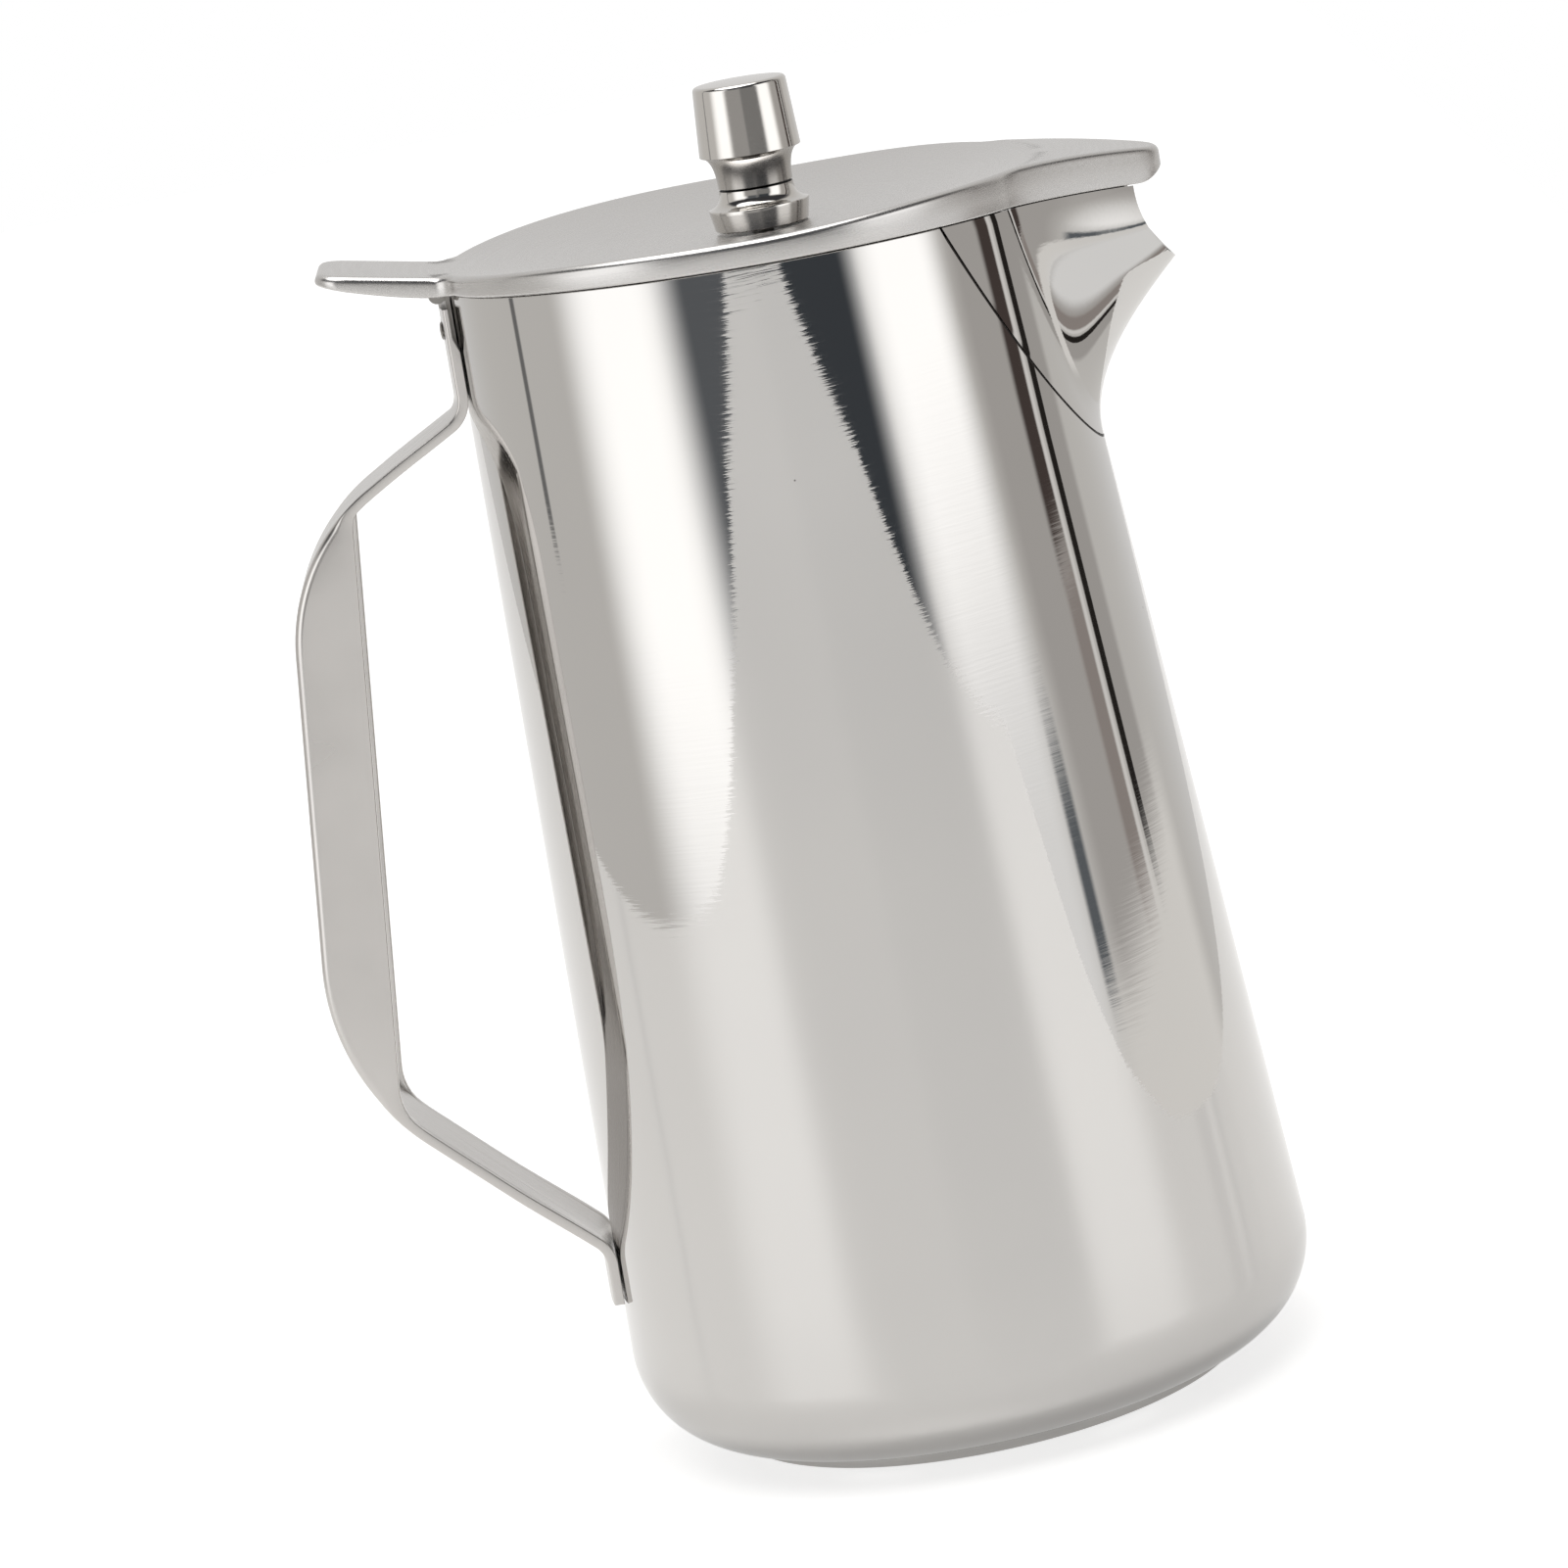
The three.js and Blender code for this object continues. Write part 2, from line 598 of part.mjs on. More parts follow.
/** Strap handle: tabs curved to the vessel, flat legs and a grip pressed into a channel. */
function strapHandle() {
  const edge = STRAP_EDGE;
  const strap = acrossY(strapOutline(), STRAP_WIDTH, {
    steps: STRAP_STEPS,
    bevelEnabled: true,
    bevelThickness: edge,
    bevelSize: edge,
    bevelOffset: -edge,
    bevelSegments: 2,
  });
  reshape(strap, (place) => {
    const reach = -place.x - wallRadius(place.z) - STRAP_DEPTH;
    const hug = 1 - THREE.MathUtils.smoothstep(reach, 0, HUG_REACH);
    place.x += hug * wallSag(place.y, place.z);
  });
  const channel = acrossY(channelOutline(), STRAP_WIDTH - 2 * STRAP_THICKNESS, {});
  const seat = wallPlate(-WALL, LEAF_DEPTH + LEAF_GAP, 2 * STRAP_WIDTH, LEAF_BOTTOM - LEAF_GAP, RIM_HEIGHT);
  const pressed = solid(strap).subtract(solid(channel)).subtract(solid(seat));
  return pressed.subtract(rivetHole(1)).subtract(rivetHole(-1));
}

/** Half of the lid's plan outline, from the nose round one side to the thumb tab. */
function lidHalfOutline() {
  const flare = flareLine(LID_OVERHANG, FLARE_STEPS);
  const [beforeLip, lip] = flare.slice(-2);
  const onward = lip.clone().sub(beforeLip).normalize();
  const noseEnd = new THREE.CubicBezierCurve(
    new THREE.Vector2(LID_FRONT, 0),
    new THREE.Vector2(LID_FRONT, NOSE_ROUND),
    lip.clone().addScaledVector(onward, NOSE_ROUND),
    lip,
  );
  const fillet = new THREE.Vector2(0, TAB_HALF_WIDTH + TAB_FILLET);
  fillet.x = -Math.sqrt((LID_RADIUS + TAB_FILLET) ** 2 - fillet.y ** 2);
  const meet = fillet.angle();
  const corner = new THREE.Vector2(TAB_CORNER - TAB_END, TAB_HALF_WIDTH - TAB_CORNER);
  const arc = (x, y, r, from, to, turn) => new THREE.EllipseCurve(x, y, r, r, from, to, turn);
  const side = new THREE.LineCurve(
    new THREE.Vector2(fillet.x, TAB_HALF_WIDTH),
    new THREE.Vector2(corner.x, TAB_HALF_WIDTH),
  );
  const stretches = [
    noseEnd.getPoints(6),
    flare.reverse(),
    arc(0, 0, LID_RADIUS, SPOUT_HALF_ANGLE, meet, false).getPoints(21),
    arc(fillet.x, fillet.y, TAB_FILLET, meet + Math.PI, 1.5 * Math.PI, true).getPoints(3),
    side.getPoints(4),
    arc(corner.x, corner.y, TAB_CORNER, Math.PI / 2, Math.PI, false).getPoints(3),
    [new THREE.Vector2(-TAB_END, 0)],
  ];
  return stretches.flatMap((points, i) => (i === 0 ? points : points.slice(points.length > 1 ? 1 : 0)));
}

/** Whole plan outline of the lid with its outward normals. */
function lidOutline() {
  const half = lidHalfOutline();
  const mirrored = half.slice(1, -1).reverse().map((place) => new THREE.Vector2(place.x, -place.y));
  const loop = [...half, ...mirrored];
  return loop.map((place, i) => {
    const next = loop[(i + 1) % loop.length];
    const last = loop[(i + loop.length - 1) % loop.length];
    const along = next.clone().sub(last).normalize();
    return { place, normal: new THREE.Vector2(along.y, -along.x) };
  });
}

/** How far along the thumb tab a place lies, from 0 at the lid's round edge to 1 at the tip. */
function tabShare(x) {
  return THREE.MathUtils.clamp((-x - LID_RADIUS) / (TAB_END - LID_RADIUS), 0, 1);
}

/** Height of the lid's top face: dished inside its round edge, raised at the nose and the tab. */
function lidTop(place) {
  const out = Math.min(1, place.length() / LID_RADIUS);
  const dish = DISH_DEPTH * (1 - out * out);
  const crown = NOSE_CROWN * Math.sin(Math.max(0, place.x) / NOSE_CROWN_X * Math.PI / 2) ** 2;
  const sink = TAB_SINK * THREE.MathUtils.clamp(-place.x / LID_RADIUS, 0, 1) ** 3;
  return BAND_HEIGHT - dish + crown - sink - rimBow(place.x) + TAB_LIFT * tabShare(place.x);
}

/** Height of the lower edge of the lid's turned-down band, lifted at the nose's front and the tab. */
function lidLow(x) {
  const tip = BAND_HEIGHT - TAB_SINK + TAB_LIFT - TAB_TIP_EDGE;
  const front = THREE.MathUtils.clamp(1 + (x - LID_FRONT) / NOSE_LIFT_RUN, 0, 1);
  return tip * tabShare(x) ** 1.3 + NOSE_LIFT * front * front - rimBow(x);
}

/** Pressed lid: dished top, turned-down hemmed band, nose over the spout and thumb tab. */
function lidSheet() {
  const outline = lidOutline();
  const ring = (inset, height) => outline.map(({ place, normal }) => {
    const amount = typeof inset === 'function' ? inset(place) : inset;
    const moved = place.clone().addScaledVector(normal, -amount);
    return new THREE.Vector3(moved.x, moved.y, height(place, normal));
  });
  const shoulder = (place, normal) => lidTop(place.clone().addScaledVector(normal, -EDGE_ROUND));
  const low = (place) => lidLow(place.x);
  const hem = (place) => (tabShare(place.x) > 0 ? 1.3 * LID_SHEET : HEM_WIDTH);
  const dish = (share, drop) => outline.map(({ place, normal }) => {
    const moved = place.clone().addScaledVector(normal, -EDGE_ROUND).multiplyScalar(share);
    return new THREE.Vector3(moved.x, moved.y, lidTop(moved) - drop);
  });
  const slant = EDGE_ROUND * (1 - Math.SQRT1_2);
  const rings = [
    ...DISH_STEPS.map((share) => dish(share, 0)),
    ring(EDGE_ROUND, shoulder),
    ring(slant, (place, normal) => shoulder(place, normal) - slant),
    ring(0, (place, normal) => shoulder(place, normal) - EDGE_ROUND),
    ring(0, low),
    ring(hem, low),
    ring(hem, (place) => low(place) + LID_SHEET),
    ring(LID_SHEET, (place) => low(place) + LID_SHEET),
    ring(LID_SHEET, (place, normal) => shoulder(place, normal) - EDGE_ROUND),
    ring(EDGE_ROUND, (place, normal) => shoulder(place, normal) - LID_SHEET),
    ...UNDER_STEPS.map((share) => dish(share, LID_SHEET)),
  ];
  const middle = BAND_HEIGHT - DISH_DEPTH;
  const shell = closedRings(
    new THREE.Vector3(0, 0, middle),
    rings,
    new THREE.Vector3(0, 0, middle - LID_SHEET),
  );
  const hole = bar(SCREW_RADIUS + SCREW_CLEARANCE, -BAND_HEIGHT, BAND_HEIGHT, SMALL_SIDES);
  return solid(shell).subtract(solid(hole.translate(KNOB_X, 0, 0)));
}

/** Hinge knuckle along Y between two places across the axis. */
function knuckle(from, to) {
  const tube = turned([
    [BORE_RADIUS, from],
    [BARREL_RADIUS, from],
    [BARREL_RADIUS, to],
    [BORE_RADIUS, to],
    [BORE_RADIUS, from],
  ], SMALL_SIDES);
  return solid(tube.rotateX(-Math.PI / 2));
}

/** Fixed hinge leaf, seated between strap and vessel, with a knuckle at each side. */
function fixedLeaf() {
  const inner = LID_KNUCKLE_WIDTH / 2 + KNUCKLE_GAP;
  const outer = LEAF_WIDTH / 2;
  const notchBottom = AXIS_HEIGHT - BARREL_RADIUS - KNUCKLE_GAP;
  const plate = wallPlate(LEAF_GAP, LEAF_DEPTH, LEAF_WIDTH, LEAF_BOTTOM, AXIS_HEIGHT);
  const notch = new THREE.BoxGeometry(4 * BARREL_RADIUS, 2 * inner, 2 * BARREL_RADIUS + KNUCKLE_GAP);
  notch.translate(AXIS_X, 0, notchBottom + BARREL_RADIUS + KNUCKLE_GAP / 2);
  const bore = bar(BORE_RADIUS, -LEAF_WIDTH, LEAF_WIDTH, SMALL_SIDES).rotateX(-Math.PI / 2);
  const knuckles = knuckle(inner, outer).add(knuckle(-outer, -inner)).translate([AXIS_X, 0, AXIS_HEIGHT]);
  return solid(plate)
    .subtract(solid(notch))
    .subtract(solid(bore.translate(AXIS_X, 0, AXIS_HEIGHT)))
    .add(knuckles)
    .subtract(rivetHole(1))
    .subtract(rivetHole(-1));
}

/** Hinge axis in the lid's own sloping frame. */
function axisOnLid() {
  const rise = AXIS_HEIGHT - RIM_HEIGHT;
  const [sin, cos] = [Math.sin(RIM_SLOPE), Math.cos(RIM_SLOPE)];
  return new THREE.Vector3(AXIS_X * cos - rise * sin, 0, AXIS_X * sin + rise * cos);
}

/** Hinge leaf under the thumb tab, with the middle knuckle. */
function lidLeaf() {
  const axis = axisOnLid();
  const under = (x) => lidTop(new THREE.Vector2(x, 0)) - LID_SHEET - LEAF_GAP;
  const plate = new THREE.BoxGeometry(LID_LEAF_LENGTH, LEAF_WIDTH, LEAF_THICKNESS, 5, 1, 1);
  plate.translate(axis.x - LID_LEAF_LENGTH / 2 + BARREL_RADIUS, 0, -LEAF_THICKNESS / 2);
  reshape(plate, (place) => {
    place.z += under(place.x);
  });
  const webTop = under(axis.x) - LEAF_THICKNESS / 2;
  const webLow = axis.z + (BORE_RADIUS + BARREL_RADIUS) / 2;
  const web = new THREE.BoxGeometry(BARREL_RADIUS, LID_KNUCKLE_WIDTH, webTop - webLow);
  web.translate(axis.x, 0, (webTop + webLow) / 2);
  const half = LID_KNUCKLE_WIDTH / 2;
  return solid(plate).add(solid(web)).add(knuckle(-half, half).translate([axis.x, 0, axis.z]));
}

/** Hinge pin with peened ends. */
function hingePin() {
  const reach = LEAF_WIDTH / 2 + PIN_CLEARANCE;
  const pin = turned([
    [0, -reach - PIN_HEAD],
    [PIN_HEAD_RADIUS, -reach - PIN_HEAD],
    [PIN_HEAD_RADIUS, -reach],
    [PIN_RADIUS, -reach],
    [PIN_RADIUS, reach],
    [PIN_HEAD_RADIUS, reach],
    [PIN_HEAD_RADIUS, reach + PIN_HEAD],
    [0, reach + PIN_HEAD],
  ], SMALL_SIDES);
  return solid(pin.rotateX(-Math.PI / 2).translate(AXIS_X, 0, AXIS_HEIGHT));
}

/** Rivet through strap and leaf, its domed head outside and its tail flush with the leaf. */
function rivet(side) {
  const tail = STRAP_DEPTH - LEAF_GAP;
  const seat = RIVET_CLEARANCE;
  return solid(onRivet(turned([
    [0, -tail],
    [RIVET_RADIUS, -tail],
    [RIVET_RADIUS, seat],
    [RIVET_HEAD_RADIUS, seat],
    [0.75 * RIVET_HEAD_RADIUS, seat + 0.7 * RIVET_HEAD],
    [0, seat + RIVET_HEAD],
  ], SMALL_SIDES), side));
}

/** Points of a hollow curve between two [radius, height] places, drawn in to a waist. */
function waist(from, to, pull) {
  const curve = new THREE.QuadraticBezierCurve(
    new THREE.Vector2(...from),
    new THREE.Vector2(...pull),
    new THREE.Vector2(...to),
  );
  return curve.getPoints(5).slice(1, -1).map(({ x, y }) => [x, y]);
}

/** Turned collar under the knob, with a through hole for the screw. */
function knobCollar() {
  const bore = SCREW_RADIUS + SCREW_CLEARANCE;
  const rim = [COLLAR_RADIUS, COLLAR_WIDEST];
  const neck = [KNOB_NECK_RADIUS, COLLAR_HEIGHT];
  return solid(turned([
    [bore, 0],
    [COLLAR_FOOT_RADIUS, 0],
    rim,
    [COLLAR_RADIUS - 0.3, COLLAR_WIDEST + 0.3],
    ...waist([COLLAR_RADIUS - 0.3, COLLAR_WIDEST + 0.3], neck, [KNOB_NECK_RADIUS, COLLAR_WIDEST + 0.8]),
    neck,
    [bore, COLLAR_HEIGHT],
    [bore, 0],
  ], KNOB_SIDES));
}

/** Turned upper knob with a blind hole for the screw. */
function knobCap() {
  const bore = SCREW_RADIUS + SCREW_CLEARANCE;
  const low = COLLAR_HEIGHT + STACK_GAP;
  const neck = [KNOB_NECK_RADIUS, low];
  const shoulder = [KNOB_SHOULDER_RADIUS, KNOB_SHOULDER_HEIGHT];
  const hollow = low + SCREW_ENGAGEMENT + STACK_GAP;
  const slant = KNOB_EDGE * (1 - Math.SQRT1_2);
  return solid(turned([
    [0, hollow],
    [bore, hollow],
    [bore, low],
    neck,
    ...waist(neck, shoulder, [KNOB_NECK_RADIUS, KNOB_SHOULDER_HEIGHT - 0.4]),
    shoulder,
    [KNOB_TOP_RADIUS, KNOB_HEIGHT - KNOB_EDGE],
    [KNOB_TOP_RADIUS - slant, KNOB_HEIGHT - slant],
    [KNOB_TOP_RADIUS - KNOB_EDGE, KNOB_HEIGHT],
    [0, KNOB_HEIGHT + 0.3],
  ], KNOB_SIDES));
}

/** Washer under the lid. */
function knobWasher() {
  const bore = SCREW_RADIUS + SCREW_CLEARANCE;
  return solid(turned([
    [bore, -WASHER_THICKNESS],
    [WASHER_RADIUS, -WASHER_THICKNESS],
    [WASHER_RADIUS, 0],
    [bore, 0],
    [bore, -WASHER_THICKNESS],
  ], SMALL_SIDES));
}

/** Slotted screw that clamps the knob to the lid; zero is the underside of its head's shoulder. */
function knobScrew(length) {
  const screw = turned([
    [0, -SCREW_HEAD],
    [0.8 * SCREW_HEAD_RADIUS, -SCREW_HEAD],
    [SCREW_HEAD_RADIUS, -0.6 * SCREW_HEAD],
    [SCREW_HEAD_RADIUS, 0],
    [SCREW_RADIUS, 0],
    [SCREW_RADIUS, length],
    [0, length],
  ], SMALL_SIDES);
  const slot = new THREE.BoxGeometry(SCREW_SLOT_WIDTH, 3 * SCREW_HEAD_RADIUS, 2 * SCREW_SLOT_DEPTH);
  return solid(screw).subtract(solid(slot.translate(0, 0, -SCREW_HEAD)));
}

/** Knob with its collar, washer and screw, standing on the dished lid. */
function knobGroup() {
  const group = new THREE.Group();
  const collarFoot = lidTop(new THREE.Vector2(KNOB_X + COLLAR_FOOT_RADIUS, 0)) + STACK_GAP;
  const washerTop = BAND_HEIGHT - DISH_DEPTH - LID_SHEET - STACK_GAP;
  const headTop = washerTop - WASHER_THICKNESS - STACK_GAP;
  const screwEnd = collarFoot + COLLAR_HEIGHT + STACK_GAP + SCREW_ENGAGEMENT;
  const stand = (mesh, height) => {
    mesh.position.set(KNOB_X, 0, height);
    group.add(mesh);
  };
  stand(piece('knob_cap', knobCap(), POLISHED_STEEL), collarFoot);
  stand(piece('knob_collar', knobCollar(), POLISHED_STEEL), collarFoot);
  stand(piece('knob_washer', knobWasher(), PLAIN_STEEL), washerTop);
  stand(piece('knob_screw', knobScrew(screwEnd - headTop), PLAIN_STEEL), headTop);
  return group;
}

/** Lid with everything that swings with it, in the slope of the rim. */
function lidGroup() {
  const group = new THREE.Group();
  group.position.z = RIM_HEIGHT;
  group.rotation.y = RIM_SLOPE;
  group.add(piece('lid', lidSheet(), SATIN_STEEL));
  group.add(piece('hinge_lid_leaf', lidLeaf(), PLAIN_STEEL));
  group.add(knobGroup());
  return group;
}

const pitcher = new THREE.Group();
pitcher.add(piece('body', bodyShell(), POLISHED_STEEL));
pitcher.add(piece('spout', spoutSheet(), POLISHED_STEEL));
pitcher.add(piece('handle', strapHandle(), SATIN_STEEL));
pitcher.add(piece('hinge_fixed_leaf', fixedLeaf(), PLAIN_STEEL));
pitcher.add(piece('hinge_pin', hingePin(), PLAIN_STEEL));
pitcher.add(piece('hinge_rivet_left', rivet(1), PLAIN_STEEL));
pitcher.add(piece('hinge_rivet_right', rivet(-1), PLAIN_STEEL));
pitcher.add(lidGroup());

export default pitcher;
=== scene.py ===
"""Looks of a lidded stainless steel water pitcher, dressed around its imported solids.

Sizes are in millimetres until a piece is finished, when its mesh is scaled to metres.
"""
import logging
import math
from collections.abc import Callable, Sequence
from dataclasses import dataclass, field
from enum import Enum
from functools import partial
from typing import Any, TypeVar

import bmesh
import bpy
from bmesh.types import BMEdge, BMesh, BMVert
from bpy.types import Material, Node, NodeSocket, NodeTree, Object
from mathutils import Matrix, Quaternion, Vector


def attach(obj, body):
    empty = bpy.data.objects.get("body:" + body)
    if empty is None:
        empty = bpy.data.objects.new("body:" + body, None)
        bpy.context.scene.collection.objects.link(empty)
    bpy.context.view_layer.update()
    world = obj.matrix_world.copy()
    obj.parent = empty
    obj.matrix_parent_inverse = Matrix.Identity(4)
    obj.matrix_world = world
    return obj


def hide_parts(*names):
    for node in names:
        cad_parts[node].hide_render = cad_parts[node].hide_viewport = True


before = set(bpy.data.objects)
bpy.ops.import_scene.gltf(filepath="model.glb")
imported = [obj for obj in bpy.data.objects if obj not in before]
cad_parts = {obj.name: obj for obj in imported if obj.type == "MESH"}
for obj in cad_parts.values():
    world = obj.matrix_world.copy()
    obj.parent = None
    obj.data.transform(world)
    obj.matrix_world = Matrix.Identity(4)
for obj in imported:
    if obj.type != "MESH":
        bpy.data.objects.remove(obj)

log = logging.getLogger("pitcher")

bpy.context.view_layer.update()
MM = 0.001
QUARTER = math.pi / 2
# Vertex attribute that marks the inside faces of a turned piece: satin inside the vessel, painted
# shade in the knob's joint and bore.
INSIDE = "inside"
# Lengths up to which two points are one and an edge is no edge.
MERGED = 1e-4
NO_EDGE = 1e-5
# Number of times a range is halved in a search.
HALVINGS = 40
# Slack for lines that cross at their ends, and sine of an angle that counts as parallel.
SLACK = 1e-6
PARALLEL = 1e-9
# Share of the least distance up to which a crossing is one with the line looked from.
OWN_LINE = 0.2
# Decimals by which the points of a grid are told apart into rows.
ROW_DECIMALS = 5

Flat = tuple[float, float]
Spot = TypeVar("Spot", float, Vector)


class Body(Enum):
    """Rigid bodies that the pieces move with."""

    VESSEL = "vessel"
    LID = "lid_assembly"


class Slot(Enum):
    """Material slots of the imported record."""

    POLISHED = "polished_steel"
    SATIN = "satin_steel"
    PLAIN = "plain_steel"


class Grain(Enum):
    """Way in which the polishing lines of a steel sheet run."""

    ROUND = "round the upright axis"
    LENGTHWISE = "along the strap"


def linear(colour: str) -> tuple[float, float, float, float]:
    """Turn an sRGB hex value into linear colour.

    Args:
        colour: Six hex digits, with or without a leading hash.

    Returns:
        Linear red, green and blue with an alpha of one.
    """
    digits = colour.lstrip("#")
    parts = [int(digits[i : i + 2], 16) / 255 for i in (0, 2, 4)]
    red, green, blue = (p / 12.92 if p <= 0.04045 else ((p + 0.055) / 1.055) ** 2.4 for p in parts)
    return red, green, blue, 1.0


def add_node(
    tree: NodeTree,
    kind: str,
    settings: dict[str | int, Any] | None = None,
    links: dict[str | int, NodeSocket | Node] | None = None,
) -> Node:
    """Add a node with its settings and its incoming links.

    Args:
        tree: Node tree that takes the node.
        kind: Blender's name of the node type, after ShaderNode.
        settings: Properties by name, or input values by socket name or number.
        links: What feeds the inputs, by socket name or number; a node gives its first output.

    Returns:
        The new node.
    """
    node = tree.nodes.new(f"ShaderNode{kind}")
    for key, value in (settings or {}).items():
        if isinstance(key, str) and hasattr(node, key):
            setattr(node, key, value)
        else:
            node.inputs[key].default_value = value
    for key, source in (links or {}).items():
        socket = source.outputs[0] if isinstance(source, Node) else source
        tree.links.new(socket, node.inputs[key])
    return node


def turn(bm: BMesh, profile: Sequence[Flat], steps: int, inside: int) -> None:
    """Spin a profile once round the upright axis.

    Args:
        bm: Mesh that takes the turned shape.
        profile: Points as radius and height, in order.
        steps: Number of steps round the axis.
        inside: Number of the first point that is marked as inside; below 0, from the end.
    """
    layer = bm.verts.layers.float.new(INSIDE)
    verts = [bm.verts.new((radius, 0.0, height)) for radius, height in profile]
    for vert in verts[inside:]:
        vert[layer] = 1.0
    edges = [bm.edges.new(pair) for pair in zip(verts, verts[1:])]
    spun = {"cent": (0, 0, 0), "axis": (0, 0, 1), "angle": math.tau, "steps": steps}
    bmesh.ops.spin(bm, geom=[*verts, *edges], use_merge=True, **spun)
    close_up(bm)


def loft(bm: BMesh, rings: Sequence[Sequence[Vector]]) -> None:
    """Extrude a closed ring of edges through a row of rings.

    Args:
        bm: Mesh that takes the lofted shape.
        rings: Rings of equally many points; a ring drawn into one point closes an end.
    """
    verts = [bm.verts.new(point) for point in rings[0]]
    edges = [bm.edges.new((vert, verts[i - 1])) for i, vert in enumerate(verts)]
    for ring in rings[1:]:
        made = bmesh.ops.extrude_edge_only(bm, edges=edges)["geom"]
        fresh = {item for item in made if isinstance(item, BMVert)}
        edges = [item for item in made if isinstance(item, BMEdge)]
        verts = [
            next(e.other_vert(v) for e in v.link_edges if e.other_vert(v) in fresh) for v in verts
        ]
        for vert, point in zip(verts, ring):
            vert.co = point
    close_up(bm)


def close_up(bm: BMesh) -> None:
    """Merge doubled vertices and turn all faces outwards.

    Args:
        bm: Mesh that is closed up.
    """
    bmesh.ops.remove_doubles(bm, verts=bm.verts, dist=MERGED)
    bmesh.ops.dissolve_degenerate(bm, edges=bm.edges, dist=NO_EDGE)
    bmesh.ops.recalc_face_normals(bm, faces=bm.faces)


def make_piece(bm: BMesh, name: str, sharp: float = 40.0) -> Object:
    """Turn a finished bmesh into an object at the origin, in metres and shaded smooth.

    Args:
        bm: Mesh in millimetres, freed here.
        name: Name of the piece.
        sharp: Angle in degrees from which an edge stays sharp.

    Returns:
        The object, linked to the scene.
    """
    bmesh.ops.scale(bm, vec=(MM, MM, MM), verts=bm.verts)
    mesh = bpy.data.meshes.new(name)
    bm.to_mesh(mesh)
    bm.free()
    mesh.shade_smooth()
    mesh.set_sharp_from_angle(angle=math.radians(sharp))
    piece = bpy.data.objects.new(name, mesh)
    bpy.context.scene.collection.objects.link(piece)
    return piece


def place(piece: Object, body: Body, slot: Slot, finish: Material, *nodes: str) -> None:
    """Give a piece its body and finish, and let it stand for solids.

    Args:
        piece: Finished piece.
        body: Body that it moves with.
        slot: Slot of the record that its finish belongs to; not used.
        finish: Material of the whole piece.
        *nodes: Solids that it stands for.
    """
    piece.data.materials.clear()
    piece.data.materials.append(finish)
    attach(piece, body.value)
    if nodes:
        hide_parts(*nodes)
    log.info("%s rides on %s, %d faces", piece.name, body.value, len(piece.data.polygons))


def clamped(share: float) -> float:
    """Keep a share between 0 and 1."""
    return min(1.0, max(0.0, share))


def smoothstep(value: float, low: float, high: float) -> float:
    """Ease a value from 0 at low to 1 at high."""
    share = clamped((value - low) / (high - low))
    return share * share * (3 - 2 * share)


def spaced(low: float, high: float, count: int) -> list[float]:
    """Evenly spaced values from low to high, both included."""
    return [low + (high - low) * i / (count - 1) for i in range(count)]


def arc(centre: Flat | Vector, radius: float, start: float, end: float, count: int) -> list[Vector]:
    """Points on an arc in a plane.

    Args:
        centre: Middle of the arc.
        radius: Its radius.
        start: Angle of the first point.
        end: Angle of the last point.
        count: Number of points.

    Returns:
        The points in order, both ends included.
    """
    return [
        Vector((centre[0] + radius * math.cos(angle), centre[1] + radius * math.sin(angle)))
        for angle in spaced(start, end, count)
    ]


def bezier(points: Sequence[Spot], share: float) -> Spot:
    """Point on a cubic curve.

    Args:
        points: Four control points, or one coordinate of each.
        share: Place along the curve, from 0 to 1.

    Returns:
        The point, or its coordinate.
    """
    a, b, c, d = points
    rest = 1 - share
    return rest**3 * a + 3 * rest**2 * share * b + 3 * rest * share**2 * c + share**3 * d


def halved(low: float, high: float, is_below: Callable[[float], bool]) -> float:
    """Search for the value at which a test changes from true to false.

    Args:
        low: Value at which the test is true.
        high: Value at which it is false.
        is_below: The test.

    Returns:
        The value where it changes.
    """
    for _ in range(HALVINGS):
        middle = (low + high) / 2
        if is_below(middle):
            low = middle
        else:
            high = middle
    return (low + high) / 2


def searched(rising: Sequence[float], value: float) -> float:
    """Share at which a rising cubic curve reaches a value."""
    return halved(0.0, 1.0, lambda share: bezier(rising, share) < value)


def rounded_line(corners: Sequence[Vector], radii: Sequence[float], steps: int) -> list[Vector]:
    """Line through corners with an arc at each inner corner.

    Args:
        corners: Corner points in a plane.
        radii: Arc radius of each inner corner.
        steps: Steps of each arc.

    Returns:
        Points along the rounded line.
    """
    line = [corners[0].copy()]
    for last, corner, following, radius in zip(corners, corners[1:], corners[2:], radii):
        to_last = (last - corner).normalized()
        to_next = (following - corner).normalized()
        half = to_last.angle(to_next) / 2
        centre = corner + (to_last + to_next).normalized() * (radius / math.sin(half))
        start = corner + to_last * (radius / math.tan(half)) - centre
        end = corner + to_next * (radius / math.tan(half)) - centre
        swing = start.angle_signed(end)
        for share in spaced(0, 1, steps + 1):
            line.append(centre + Matrix.Rotation(-swing * share, 2) @ start)
    line.append(corners[-1].copy())
    return line


def offset_line(corners: Sequence[Vector], distances: Sequence[float]) -> list[Vector]:
    """Move each stretch of a line to its left by its own distance.

    Args:
        corners: Corner points in a plane.
        distances: One distance for each stretch.

    Returns:
        Corners of the moved line.
    """
    stretches = []
    for start, end, distance in zip(corners, corners[1:], distances):
        along = (end - start).normalized()
        stretches.append((start + Vector((-along.y, along.x)) * distance, along))
    moved = [stretches[0][0]]
    for (place_a, along_a), (place_b, along_b) in zip(stretches, stretches[1:]):
        reach = (place_b - place_a).cross(along_b) / along_a.cross(along_b)
        moved.append(place_a + along_a * reach)
    last, along = stretches[-1]
    moved.append(last + along * (corners[-1] - corners[-2]).length)
    return moved


